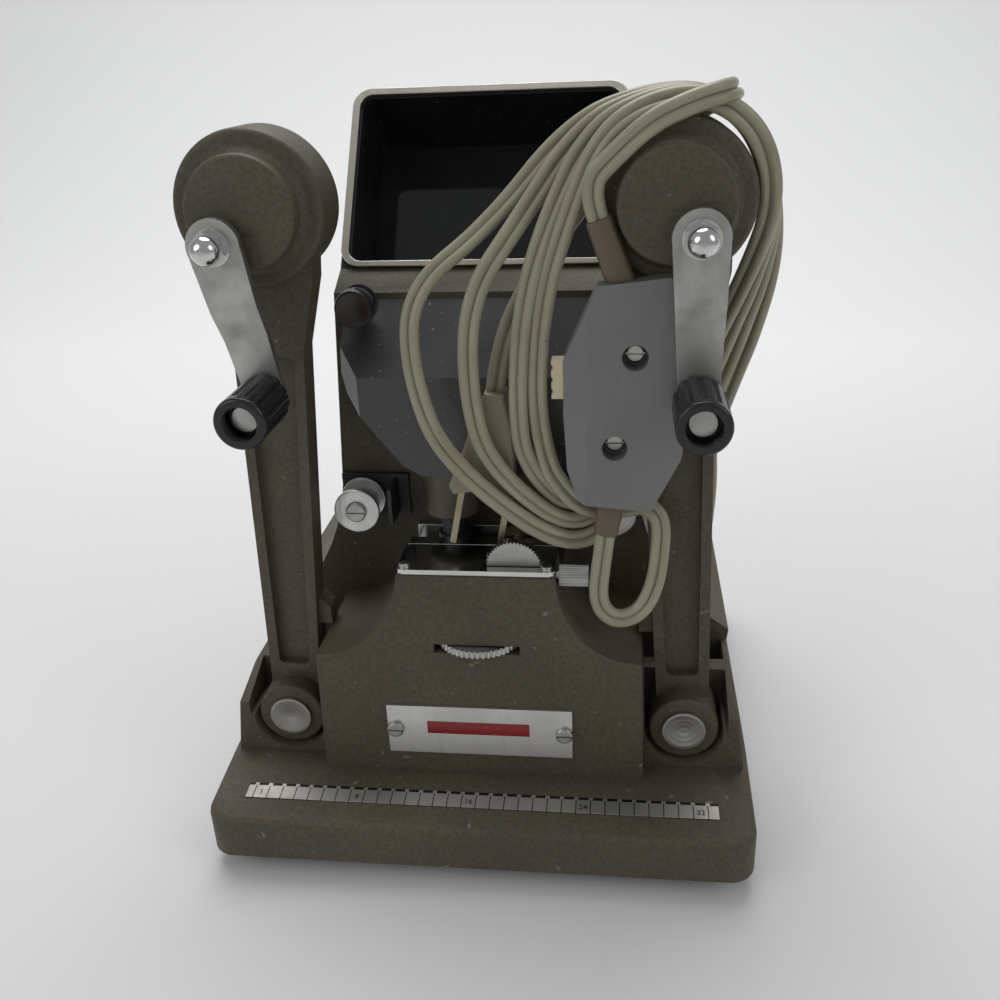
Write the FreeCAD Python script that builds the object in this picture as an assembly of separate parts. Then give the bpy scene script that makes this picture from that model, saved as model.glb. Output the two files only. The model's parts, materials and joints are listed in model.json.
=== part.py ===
import FreeCAD, Part
import math
import os

V = FreeCAD.Vector
os.makedirs("parts", exist_ok=True)

# An 8 mm film editor viewer. X runs to the right, Z up. While the pieces are drawn, Y is the depth
# behind the base's front face. They are moved as they are saved, so that the origin is the base's
# centre on the floor.

# Base casting
base_width = 145.4
base_depth = 150.0
foot_height = 6.0
foot_radius = 5.0
foot_inset = 11.0
lip_front = 18.2          # top of the lip at its front edge
lip_rise = 2.4            # how much the lip rises towards the pedestal
lip_corner = 7.0
wall = 3.0
pedestal_front = 21.0
pedestal_gap = 10.8       # from the pedestal's side to an arm's pivot
neck_height = 79.0        # top of the pedestal, under the gate plate
shoulder_height = neck_height - 22.0
flare_radius = 24.0
slope_start = neck_height - 17.0      # where the pedestal's face starts to lean back
slope_depth = 4.8
case_front = 57.0         # front face of the projection housing
case_floor = 43.0         # joint between the base and the housing
side_foot = base_width / 2 - 1.2      # half width of the side walls at their foot
side_top = side_foot - 3.3
side_front = 27.0
side_front_height = 36.7
side_rise_depth = 44.0

# Fits
clearance = 0.3
running_fit = 0.05
seat_gap = 0.1

# Arms
pivot_inset = 17.9        # from the base's side to an arm's pivot
pivot_x = base_width / 2 - pivot_inset
pedestal_half = pivot_x - pedestal_gap
pivot_z = 32.4
boss_radius = 9.3
boss_front = 28.0
beam_front = 34.0
arm_back = 42.0
well_radius = 10.6
lug_thick = 4.3
pin_radius = 3.0
pin_disc_radius = 5.8
pin_disc_thick = 1.0
head_x = 48.0
head_z = 171.0
head_radius = 17.7
raised_radius = 12.8
raised_front = 22.0
beam_low_half = 6.9
beam_high_half = 9.0
beam_recess = 2.5
flange = 2.6
gear_room = 14.8
cover_thick = 1.5
cover_radius = 16.0

# Crank and reel gears
tooth_module = 0.5
crank_teeth = 20
spindle_teeth = 12
gear_width = 4.0
gear_front = 32.0
crank_shaft_radius = 2.5
crank_stud_radius = 2.0
crank_reach = 36.0
crank_thick = 2.2
crank_front = 17.2
crank_joggle = 1.6
crank_round = 6.2
crank_tip = 4.6
crank_lean = {"left": 11.0, "right": 1.6}
handle_radius = 6.1
handle_flutes = 12
rivet_radius = 2.0
spindle_radius = 3.95
spindle_end = 60.0
spindle_shaft_radius = 2.0

# Film path
film_reach = 7.0          # from the housing forward to the film's centre line
film_depth = case_front - film_reach
film_room = 4.5           # half the width of the channel
sprocket_x = 9.8
sprocket_z = neck_height + 1.3
sprocket_radius = 4.85
sprocket_teeth = 8
drive_shaft_radius = 1.5
inching_radius = 7.2
inching_teeth = 48
inching_thick = 2.5
inching_front = 29.0
lens_x = -8.5
prism_side = 5.4
prism_length = 7.0
drive_teeth = 60
prism_teeth = 30
drive_gear_depth = 61.5
drive_gear_width = 2.0
roller_x = 34.8
roller_z = neck_height + 9.1
roller_radius = 6.3
roller_hub = 4.6
roller_front = 45.0
roller_width = 10.0
gate_half = 20.5
gate_front = 26.0
gate_thick = 1.6
gate_back = 40.5

# Viewing head
rim_low = V(0, 64.0, 151.0)
rim_high = V(0, 97.0, 193.3)
hood_half = 37.6
rim_width = 1.7
rim_thick = 1.2
hood_depth = 25.0
glass_thick = 2.0
case_wall = 2.5
case_back = 147.0
back_cover_thick = 1.8
cover_front = 42.0
cover_wall = 1.5
lens_radius = 7.8
lens_bottom = neck_height + 8.0
lens_top = lens_bottom + 17.0
knob_radius = 4.9

# Cord, a flat two-core cord drawn as a round tube of the same bulk
cord_diameter = 3.6
cord_radius = cord_diameter / 2
least_gap = 0.4


def unit(v):
    return v * (1 / v.Length)


def box(x0, x1, y0, y1, z0, z1):
    return Part.makeBox(x1 - x0, y1 - y0, z1 - z0, V(x0, y0, z0))


def rod(x, y0, y1, z, radius):
    return Part.makeCylinder(radius, y1 - y0, V(x, y0, z), V(0, 1, 0))


def post(x, y, z0, z1, radius):
    return Part.makeCylinder(radius, z1 - z0, V(x, y, z0))


def front_plate(points, y0, y1):
    """Draws an outline of x and z from depth y0 back to y1."""
    corners = [V(x, y0, z) for x, z in points]
    face = Part.Face(Part.makePolygon(corners + corners[:1]))
    return face.extrude(V(0, y1 - y0, 0))


def side_plate(points, x0, x1):
    """Draws an outline of y and z from x0 to x1."""
    corners = [V(x0, y, z) for y, z in points]
    face = Part.Face(Part.makePolygon(corners + corners[:1]))
    return face.extrude(V(x1 - x0, 0, 0))


def mirrored(points):
    """Adds the left half of an outline to its right half, which is listed from the bottom up."""
    return points + [(-x, z) for x, z in reversed(points)]


def soften(shape, radius, wanted):
    """Rounds the edges whose middle point passes the test."""
    edges = [e for e in shape.Edges if wanted(e)]
    return shape.makeFillet(radius, edges)


def middle(edge):
    return edge.valueAt((edge.FirstParameter + edge.LastParameter) / 2)


def runs_along(edge, axis):
    """True for a straight edge along x, y or z."""
    if not isinstance(edge.Curve, Part.Line):
        return False
    span = edge.lastVertex().Point - edge.firstVertex().Point
    return abs(abs(span.dot(axis)) - span.Length) < 1e-6


def left_of(shape):
    return shape.mirror(V(0, 0, 0), V(1, 0, 0))


def group(*shapes):
    return Part.makeCompound(list(shapes))


def save(name, shape):
    placed = shape.copy()
    placed.translate(V(0, -base_depth / 2, 0))
    placed.exportStep("parts/" + name + ".step")
    print(name, len(placed.Solids), round(placed.Volume, 1), placed.isValid())


def concave(x0, z0, x1, z1, radius, steps):
    """Points of a hollow arc from a wide foot to a narrow top, centred level with the top."""
    centre_x = x1 + radius
    start = math.asin(min(1.0, (z1 - z0) / radius))
    places = []
    for i in range(steps + 1):
        angle = start * (1 - i / steps)
        places.append((centre_x - radius * math.cos(angle), z1 - radius * math.sin(angle)))
    places[0] = (x0, z0)
    return places


# Base casting
def make_base():
    deck = lip_front + lip_rise
    plinth = side_plate([(0, foot_height), (0, lip_front), (pedestal_front - 1, deck),
                         (base_depth, deck), (base_depth, foot_height)],
                        -base_width / 2, base_width / 2)
    plinth = soften(plinth, lip_corner, lambda e: runs_along(e, V(0, 0, 1)))
    plinth = soften(plinth, 2.0, lambda e: middle(e).z > lip_front - 0.5
                    and middle(e).y < pedestal_front - 2)
    outline = [(pedestal_half, lip_front), (pedestal_half - 1, shoulder_height)]
    outline += concave(pedestal_half - 1, shoulder_height, gate_half, neck_height + gate_thick,
                       flare_radius, 10)[1:]
    pedestal = front_plate(mirrored(outline), pedestal_front, case_front)
    lean = side_plate([(pedestal_front - 1, slope_start), (pedestal_front, slope_start),
                       (pedestal_front + slope_depth, neck_height + gate_thick),
                       (pedestal_front - 1, neck_height + gate_thick + 1)], -60, 60)
    pedestal = pedestal.cut(lean)
    above = box(-60, 60, 0, case_front, neck_height, 100)
    channel = box(-60, 60, gate_back + seat_gap, case_front, channel_floor - seat_gap, 100)
    pedestal = pedestal.cut(above).cut(channel)
    sides = front_plate([(side_foot, lip_front), (side_top, case_floor),
                         (-side_top, case_floor), (-side_foot, lip_front)],
                        side_front, case_back)
    profile = side_plate([(side_front, lip_front), (side_front, side_front_height),
                          (side_rise_depth, case_floor), (case_back, case_floor),
                          (case_back, lip_front)], -80, 80)
    sides = sides.common(profile)
    sides = soften(sides, 2.0, lambda e: runs_along(e, V(0, 1, 0)) and middle(e).z > 42)
    shape = plinth.fuse(sides).fuse(pedestal)
    for side in (-1, 1):
        x = side * pivot_x
        well = rod(x, side_front - 0.1, arm_back + clearance, pivot_z, well_radius)
        edge = [side * (pedestal_half + 0.1), side * (pivot_x + well_radius + 1.1)]
        opening = box(min(edge), max(edge), side_front - 0.1, arm_back + clearance, pivot_z, 50)
        floor_pocket = box(min(edge), max(edge), lug_back, case_front, pivot_z - 9, 50)
        shape = shape.cut(well.fuse(opening)).cut(floor_pocket)
        shape = shape.cut(rod(x, arm_back, lug_back, pivot_z, pin_radius + running_fit))
    shape = shape.cut(base_hollow())
    shelf = box(-pedestal_half + wall + 1.5, pedestal_half - wall - 1.5, pedestal_front + wall - 0.5,
                framing_y + 8, framing_z - 8, framing_z - 4.8)
    shape = shape.fuse(shelf)
    ring = post(lens_x, film_depth, condenser_low - 1, hollow_top + 0.5, 9.0)
    ring = ring.common(box(-60, 60, 0, case_front, 0, 100))
    shape = shape.fuse(ring)
    shape = shape.cut(post(lens_x, film_depth, condenser_low - 2, hollow_top, 7.05))
    shape = shape.cut(post(lens_x, film_depth, hollow_top - 1, neck_height + 1, 3.0))
    slot = box(framing_x - 11.3, framing_x + 11.3, pedestal_front - 1, pedestal_front + wall + 1,
               framing_z - 1.3, framing_z + 1.3)
    shape = shape.cut(slot)
    shape = shape.cut(post(framing_x, framing_y, framing_z - 9, hollow_top + 2, 1.5 + running_fit))
    shape = shape.cut(rod(sprocket_x, inching_front, gate_back + 1, sprocket_z,
                          drive_shaft_radius + 0.4))
    wheel_slot = box(sprocket_x - 8.4, sprocket_x + 8.4, inching_front - 0.6,
                     inching_front + inching_thick + 0.6, sprocket_z - inching_radius - 0.5,
                     sprocket_z + inching_radius)
    shape = shape.cut(wheel_slot)
    for x, y in gate_screw_places:
        shape = shape.cut(post(x, y, neck_height - 4, neck_height + 1, screw_shank + running_fit))
    shape = shape.cut(Part.makeCylinder(1.25, 4.0, V(18.2, side_knob_y, side_knob_z), V(1, 0, 0)))
    scale_bed = box(-scale_half, scale_half, scale_front, scale_front + scale_depth, 0, 30)
    scale_bed = tilt_on_lip(scale_bed, -scale_sink)
    shape = shape.cut(scale_bed)
    for x in (-22.9, 22.9):
        shape = shape.cut(rod(x, pedestal_front - 1, pedestal_front + wall + 1, 34.9,
                              screw_shank + running_fit))
    shape = shape.cut(rod(pivot_x, case_front - 1, case_front + wall + 1, pivot_z,
                          grommet_neck + running_fit))
    for x, y in foot_places:
        shape = shape.fuse(post(x, y, foot_height, lip_front - 1, 4.2))
        shape = shape.cut(post(x, y, foot_height - 1, foot_height + 8, screw_shank + running_fit))
    return shape


def base_hollow():
    """The room under the plinth, in the pedestal and under the housing."""
    half = base_width / 2 - wall
    low = box(-half, half, wall, base_depth - wall, foot_height - 1, lip_front - 2.0)
    inner = [(pedestal_half - wall, lip_front - 4), (pedestal_half - wall - 1, shoulder_height - 3)]
    inner += concave(pedestal_half - wall - 1, shoulder_height - 3, gate_half - 4, hollow_top,
                     flare_radius, 6)[1:]
    tall = front_plate(mirrored(inner), pedestal_front + wall, case_front + 4)
    sloped = side_plate([(0, slope_start - 2), (pedestal_front + wall, slope_start - 2),
                         (pedestal_front + wall + slope_depth, hollow_top + 1), (0, hollow_top + 1)],
                        -60, 60)
    tall = tall.cut(sloped)
    rear = box(-side_top + 5, side_top - 5, case_front + wall, case_back - wall, lip_front - 4,
               case_floor + 1)
    return low.fuse(tall).fuse(rear)


def tilt_on_lip(shape, lift):
    """Lays a flat piece, drawn from z 0 up, on the sloping top of the lip."""
    angle = math.degrees(math.atan2(lip_rise, pedestal_front - 1))
    laid = shape.copy()
    laid.rotate(V(0, 0, 0), V(1, 0, 0), angle)
    laid.translate(V(0, 0, lip_front + lift))
    return laid


channel_floor = neck_height - 5.5
hollow_top = channel_floor - 3.5
condenser_low = hollow_top - 4.0
lug_back = arm_back + clearance + lug_thick
framing_x = 0.3
framing_y = 30.0
framing_z = neck_height - 18.8
framing_radius = 12.0
side_knob_y = 31.0
side_knob_z = neck_height - 1.7
scale_half = base_width / 2 - 9.2
scale_front = 8.0
scale_depth = 5.5
scale_thick = 1.0
scale_sink = 0.7
screw_shank = 1.2
screw_head = 2.3
grommet_neck = 3.2
gate_screw_places = [(-18.6, 27.9), (3.6, 34.5), (18.4, 27.9)]
foot_places = [(x, y) for x in (-base_width / 2 + foot_inset, base_width / 2 - foot_inset)
               for y in (foot_inset, base_depth - foot_inset)]


def screw(x, y, z, axis, length, head=screw_head, shank=screw_shank):
    """A slotted screw whose head stands on the point and whose shank goes against the axis."""
    dome = Part.makeCylinder(head, 1.1, V(0, 0, 0))
    dome = soften(dome, 0.5, lambda e: middle(e).z > 1.0)
    slot = Part.makeBox(2 * head + 1, 0.5, 0.6, V(-head - 0.5, -0.25, 0.6))
    stem = Part.makeCylinder(shank, length, V(0, 0, -length))
    shape = dome.cut(slot).fuse(stem)
    shape.Placement = FreeCAD.Placement(V(x, y, z), FreeCAD.Rotation(V(0, 0, 1), axis))
    return shape


def make_bottom():
    half = base_width / 2 - wall - clearance
    plate = box(-half, half, wall + clearance, base_depth - wall - clearance,
                foot_height, foot_height + 1.5)
    for x, y in foot_places:
        plate = plate.cut(post(x, y, foot_height - 1, foot_height + 3, 4.2 + seat_gap))
    for x, y in bottom_screw_places:
        plate = plate.cut(post(x, y, foot_height - 1, foot_height + 3, screw_shank + running_fit))
    return plate


bottom_screw_places = [(x, y) for x in (-30, 30) for y in (15, base_depth - 15)]


def make_feet():
    feet = []
    for x, y in foot_places:
        foot = Part.makeCone(foot_radius - 0.6, foot_radius, foot_height - seat_gap, V(x, y, 0))
        feet.append(foot)
    return group(*feet)


# Frame scale, nameplate and framing wheel
def make_scale():
    plate = box(-scale_half + seat_gap, scale_half - seat_gap, scale_front + seat_gap,
                scale_front + scale_depth - seat_gap, seat_gap, scale_thick)
    return tilt_on_lip(plate, -scale_sink)


def make_nameplate():
    plate = box(-25, 25, pedestal_front - 0.8, pedestal_front - 0.02, 27.2, 42.3)
    for x in (-22.9, 22.9):
        plate = plate.cut(rod(x, pedestal_front - 2, pedestal_front + 1, 34.9,
                              screw_shank + running_fit))
    return plate


def toothed_disc(radius, teeth, depth, thick):
    """A fine-toothed wheel, drawn flat on z 0."""
    points = []
    for i in range(teeth):
        for share, reach in ((0.0, radius - depth), (0.3, radius), (0.6, radius),
                             (0.9, radius - depth)):
            angle = 2 * math.pi * (i + share) / teeth
            points.append(V(reach * math.cos(angle), reach * math.sin(angle), 0))
    face = Part.Face(Part.makePolygon(points + points[:1]))
    return face.extrude(V(0, 0, thick))


def make_framing_wheel():
    wheel = toothed_disc(framing_radius, 52, 0.6, 1.8)
    wheel.translate(V(framing_x, framing_y, framing_z - 0.9))
    axle = post(framing_x, framing_y, framing_z - 8.5, hollow_top + 1.5, 1.5)
    hub = post(framing_x, framing_y, framing_z - 4.7, framing_z + 3, 3.5)
    return wheel.fuse(hub).fuse(axle)


def make_side_knob():
    start = V(gate_half + 1.0, side_knob_y, side_knob_z)
    knob = toothed_disc(2.8, 24, 0.25, 7.5)
    knob.rotate(V(0, 0, 0), V(0, 1, 0), 90)
    knob.translate(start)
    shaft = Part.makeCylinder(1.2, 3.6, start - V(3.2, 0, 0), V(1, 0, 0))
    return knob.fuse(shaft)


# Film gate
def make_gate_plate():
    plate = box(-gate_half, gate_half, gate_front, gate_back, neck_height, neck_height + gate_thick)
    plate = soften(plate, 1.5, lambda e: runs_along(e, V(0, 0, 1)) and middle(e).y < gate_front + 1)
    plate = plate.cut(box(sprocket_x - 7.8, sprocket_x + 7.8, inching_front - 0.5,
                          inching_front + inching_thick + 0.5,
                          neck_height - 5, neck_height + 5))
    plate = plate.cut(rod(sprocket_x, inching_front, gate_back + 1, sprocket_z,
                          drive_shaft_radius + 0.4))
    for x, y in gate_screw_places:
        plate = plate.cut(post(x, y, neck_height - 1, neck_height + 5, screw_shank + running_fit))
    return plate


def make_channel():
    low = channel_floor
    floor = box(-gate_half + 0.5, gate_half - 0.5, gate_back + 0.6, case_front - seat_gap,
                low, low + 1.8)
    front = box(-gate_half + 0.5, gate_half - 0.5, gate_back + 0.6, film_depth - film_room, low,
                neck_height + gate_thick)
    back = box(-gate_half + 0.5, gate_half - 0.5, film_depth + film_room, case_front - seat_gap, low,
               neck_height + 1)
    shape = floor.fuse(front).fuse(back)
    shape = shape.cut(rod(sprocket_x, gate_back, case_front, sprocket_z,
                          drive_shaft_radius + running_fit))
    shape = shape.cut(box(sprocket_x - drive_shaft_radius - running_fit,
                          sprocket_x + drive_shaft_radius + running_fit,
                          gate_back, case_front, sprocket_z, sprocket_z + 5))
    return shape.cut(box(lens_x - 2.8, lens_x + 2.8, film_depth - 2.1, film_depth + 2.1,
                         channel_floor - 1, neck_height))


def make_drive_shaft():
    end = drive_gear_depth + drive_gear_width
    shaft = rod(sprocket_x, inching_front, end + 1.5, sprocket_z, drive_shaft_radius)
    gear = spur_gear(drive_teeth, drive_gear_width, 0)
    gear.translate(V(sprocket_x, drive_gear_depth, sprocket_z))
    return shaft.fuse(gear)


def make_inching_wheel():
    wheel = toothed_disc(inching_radius, inching_teeth, 0.45, inching_thick)
    wheel.rotate(V(0, 0, 0), V(1, 0, 0), -90)
    wheel.translate(V(sprocket_x, inching_front, sprocket_z))
    return wheel.cut(rod(sprocket_x, 20, 60, sprocket_z, drive_shaft_radius + 0.02))


def make_sprocket():
    half = 3.9
    drum = rod(sprocket_x, film_depth - half, film_depth + half, sprocket_z, sprocket_radius - 0.6)
    drum = drum.cut(rod(sprocket_x, film_depth - half + 1.2, film_depth + half - 1.2, sprocket_z,
                        sprocket_radius + 1).cut(
        rod(sprocket_x, film_depth - half, film_depth + half, sprocket_z, sprocket_radius - 1.4)))
    for i in range(sprocket_teeth):
        tooth = box(-0.45, 0.45, film_depth - half, film_depth - half + 0.9,
                    sprocket_radius - 1.2, sprocket_radius)
        tooth.rotate(V(0, 0, 0), V(0, 1, 0), 360 * i / sprocket_teeth)
        tooth.translate(V(sprocket_x, 0, sprocket_z))
        drum = drum.fuse(tooth)
    return drum.cut(rod(sprocket_x, 20, 60, sprocket_z, drive_shaft_radius + 0.02))


def spur_gear(teeth, width, turn):
    """Involute teeth of 20 degrees pressure angle, drawn round the y axis."""
    pitch = teeth * tooth_module / 2
    base = pitch * math.cos(math.radians(20))
    involute_20 = math.tan(math.radians(20)) - math.radians(20)
    tip = pitch + 0.8 * tooth_module
    root = pitch - 1.15 * tooth_module
    half_pitch = math.pi / (2 * teeth) - backlash / (2 * pitch)
    flank = []
    for share in (0.0, 0.35, 0.7, 1.0):
        reach = max(base, root) + share * (tip - max(base, root))
        pressure = math.acos(base / reach)
        flank.append((reach, half_pitch + involute_20 - math.tan(pressure) + pressure))
    points = []
    for i in range(teeth):
        centre = 2 * math.pi * (i + turn) / teeth
        rise = [(root, -flank[0][1])] + [(reach, -angle) for reach, angle in flank]
        fall = [(reach, angle) for reach, angle in reversed(flank)] + [(root, flank[0][1])]
        for reach, angle in rise + fall:
            points.append(V(reach * math.sin(centre + angle), 0, reach * math.cos(centre + angle)))
    kept = [p for n, p in enumerate(points) if (p - points[n - 1]).Length > 1e-4]
    face = Part.Face(Part.makePolygon(kept + kept[:1]))
    return face.extrude(V(0, width, 0))


backlash = 0.12
drive_centre = (drive_teeth + prism_teeth) * tooth_module / 2
prism_z = sprocket_z + math.sqrt(drive_centre ** 2 - (sprocket_x - lens_x) ** 2)


def meshing_turn(teeth, toward, other_teeth, other_turn):
    """Turn, in teeth, that puts a gap of one gear on a tooth of the other along the line of centres."""
    tooth_there = toward * other_teeth / 360 + other_teeth / 2 - other_turn
    return toward * teeth / 360 + tooth_there + 0.5


def make_prism():
    half = prism_side / 2
    block = box(lens_x - half, lens_x + half, film_depth - prism_length / 2,
                film_depth + prism_length / 2, prism_z - half, prism_z + half)
    return block


def make_prism_shaft():
    start = film_depth + prism_length / 2 + 0.02
    cup = rod(lens_x, start, start + 0.8, prism_z, 3.2)
    shaft = rod(lens_x, start, drive_gear_depth + drive_gear_width + 1.5, prism_z,
                drive_shaft_radius)
    toward = math.degrees(math.atan2(sprocket_x - lens_x, sprocket_z - prism_z))
    gear = spur_gear(prism_teeth, drive_gear_width,
                     meshing_turn(prism_teeth, toward, drive_teeth, 0))
    gear.translate(V(lens_x, drive_gear_depth, prism_z))
    return cup.fuse(shaft).fuse(gear)


def make_roller():
    back = roller_front + roller_width
    shape = rod(roller_x, roller_front, back, roller_z, roller_hub)
    shape = shape.fuse(rod(roller_x, roller_front, roller_front + 1.4, roller_z, roller_radius))
    shape = shape.fuse(rod(roller_x, back - 1.4, back, roller_z, roller_radius))
    shape = soften(shape, 0.35, lambda e: isinstance(e.Curve, Part.Circle)
                   and abs(e.Curve.Radius - roller_radius) < 0.01)
    return shape.cut(rod(roller_x, roller_front - 1, back + 1, roller_z, 1.5 + running_fit))


def make_bracket():
    plate = box(22.0, 41.0, case_front - 1.5, case_front - seat_gap,
                roller_z - 5.6, roller_z + 6.9)
    plate = plate.cut(rod(roller_x, case_front - 5, case_front + 5, roller_z, 1.5 + running_fit))
    tab = box(25.0, 26.2, film_depth - 4, case_front - 1.4, roller_z - 4.6, roller_z + 5.9)
    half = plate.fuse(tab)
    return group(half, left_of(half))


def make_slotted_screws():
    parts = []
    for x in (-22.9, 22.9):
        parts.append(screw(x, pedestal_front - 0.85, 34.9, V(0, -1, 0), 3.5))
    for x, y in gate_screw_places:
        parts.append(screw(x, y, neck_height + gate_thick + 0.02, V(0, 0, 1), 4.5, 1.5))
    for x in (-roller_x, roller_x):
        parts.append(screw(x, roller_front - 0.1, roller_z, V(0, -1, 0),
                           case_front + wall - roller_front, 2.8, 1.5))
    return group(*parts)


# Lamp, condenser and projection lens
def make_lamp_socket():
    floor = foot_height + 1.5 + 0.02
    flange_disc = post(lens_x, film_depth, floor, floor + 2, 11)
    body = post(lens_x, film_depth, floor, 30, 7.5)
    return flange_disc.fuse(body).cut(post(lens_x, film_depth, 22, 31, 5.6))


def make_lamp_bulb():
    cap = post(lens_x, film_depth, 22.1, 33, 5.5)
    globe = Part.makeSphere(6.4, V(lens_x, film_depth, 38))
    return cap.fuse(globe)


def make_lens_elements():
    condenser = post(lens_x, film_depth, condenser_low, hollow_top - seat_gap, 7.0)
    condenser = condenser.common(Part.makeSphere(11, V(lens_x, film_depth, hollow_top - 11 + 3.6)))
    objective = post(lens_x, film_depth, lens_top - 5.5, lens_top - 1.5, lens_radius - 1.5)
    objective = objective.common(Part.makeSphere(12, V(lens_x, film_depth, lens_top - 1.5 - 12)))
    return group(condenser, objective)


def make_lens_mount():
    foot = neck_height + 0.2
    shape = post(lens_x, film_depth, foot, foot + 1.5, 4.5)
    shape = shape.fuse(post(lens_x, film_depth, foot + 1.5, lens_bottom + 1.7, 3.6))
    shape = shape.fuse(post(lens_x, film_depth, lens_bottom + 1.6, lens_bottom + 2.2, 5.0))
    return shape.cut(post(lens_x, film_depth, foot - 0.2, lens_bottom + 3, 2.2))


def make_lens_barrel():
    shape = post(lens_x, film_depth, lens_bottom, lens_top, lens_radius)
    shape = soften(shape, 0.8, lambda e: isinstance(e.Curve, Part.Circle)
                   and middle(e).z < lens_bottom + 0.1)
    shape = shape.cut(post(lens_x, film_depth, lens_bottom + 1.5, lens_top + 1, lens_radius - 1.4))
    shape = shape.fuse(post(lens_x, film_depth, lens_top - 6.7, lens_top - 5.6, lens_radius - 1).cut(
        post(lens_x, film_depth, lens_top - 7, lens_top - 5, 4.5)))
    shape = shape.cut(post(lens_x, film_depth, lens_bottom - 1, lens_bottom + 2, 3.65))
    return shape.cut(rod(lens_x, film_depth + 3, case_front + 3, prism_z,
                         drive_shaft_radius + running_fit))


# Mirror cover
def cover_outline(inset):
    """Outline of the mirror cover seen from the front, with a swept lower edge."""
    points = [(15 - inset, 100 + inset), (20 - inset, 103 + inset), (25 - inset, 109.5 + inset),
              (30 - inset, 116 + inset), (34.5 - inset, 121.5 + inset), (36 - inset, 126.5),
              (34.5 - inset, 147 - inset)]
    return mirrored(points)


def cover_profile(inset):
    tail = case_front - seat_gap if inset == 0 else case_front + 5
    return [(tail, 99 + inset), (cover_front + inset, 99 + inset),
            (cover_front + inset, 127), (tail, 144 - 1.3 * inset + (tail - case_front) * 1.1)]


def make_mirror_cover():
    shape = front_plate(cover_outline(0), cover_front, case_front - seat_gap)
    shape = shape.common(side_plate(cover_profile(0), -50, 50))
    facet = []
    for side in (-1, 1):
        wedge = [V(side * 29.5, cover_front - 1, 90), V(side * 38, cover_front - 1, 90),
                 V(side * 38, cover_front + 9, 90)]
        facet.append(Part.Face(Part.makePolygon(wedge + wedge[:1])).extrude(V(0, 0, 80)))
    shape = shape.cut(facet[0]).cut(facet[1])
    inner = front_plate(cover_outline(cover_wall), cover_front, case_front + 5)
    inner = inner.common(side_plate(cover_profile(cover_wall), -50, 50))
    for side in (-1, 1):
        wedge = [V(side * 27.5, cover_front, 90), V(side * 40, cover_front, 90),
                 V(side * 40, cover_front + 13, 90)]
        inner = inner.cut(Part.Face(Part.makePolygon(wedge + wedge[:1])).extrude(V(0, 0, 80)))
    shape = shape.cut(inner)
    shape = shape.cut(post(lens_x, film_depth, 95, lens_top + 1, lens_radius + seat_gap))
    for x in (-24, 20.5):
        ledge = side_plate([(cover_front + 1.4, 112.9), (cover_front + 1.4, 120.9),
                            (cover_front + 8.9, 128.4), (cover_front + 12.9, 124.4)], x, x + 3.5)
        shape = shape.fuse(ledge)
    return shape.cut(rod(focus_x, cover_front, case_front + 1, focus_z, 1.5 + running_fit))


focus_x = -30.2
focus_z = 144.0
focus_front = 44.4


def make_focus_knob():
    knob = rod(focus_x, focus_front, focus_front + 7.8, focus_z, knob_radius)
    knob = knob.cut(rod(focus_x, focus_front + 5.2, focus_front + 9, focus_z, knob_radius + 1).cut(
        rod(focus_x, focus_front + 5, focus_front + 9.1, focus_z, 2.6)))
    knob = soften(knob, 0.7, lambda e: middle(e).y < focus_front + 0.01)
    dish = Part.makeSphere(9.0, V(focus_x, focus_front - 8.2, focus_z))
    knob = knob.cut(dish)
    return knob.fuse(rod(focus_x, focus_front + 5, case_front + 8, focus_z, 1.5))


def make_front_mirror():
    plate = side_plate([(cover_front + 1.6, 112.6), (cover_front + 13.2, 124.2),
                        (cover_front + 14.3, 123.1), (cover_front + 2.7, 111.5)], -24, 24)
    return plate


# Projection housing
def case_outline(inset):
    """Half outline of the housing from the front, flared at the foot, narrowing to the hood."""
    points = [(side_top - inset, case_floor)]
    points += concave(side_top - inset, case_floor, 41.0 - inset, 98.0, 62.0, 10)[1:]
    points += [(38.0 - inset, 150.0), (hood_half - inset, 196.0)]
    return mirrored(points)


along_rim = unit(rim_high - rim_low)
into_hood = V(0, along_rim.z, -along_rim.y)
hood_height = (rim_high - rim_low).Length


def hood_point(up, deep):
    p = rim_low + along_rim * up + into_hood * deep
    return (p.y, p.z)


def hood_block(half, up0, up1, deep0, deep1, corner):
    """A block that lies square to the screen, with rounded corners along its depth."""
    block = side_plate([hood_point(up0, deep0), hood_point(up1, deep0), hood_point(up1, deep1),
                        hood_point(up0, deep1)], -half, half)
    return soften(block, corner, lambda e: runs_along(e, into_hood))


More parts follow.
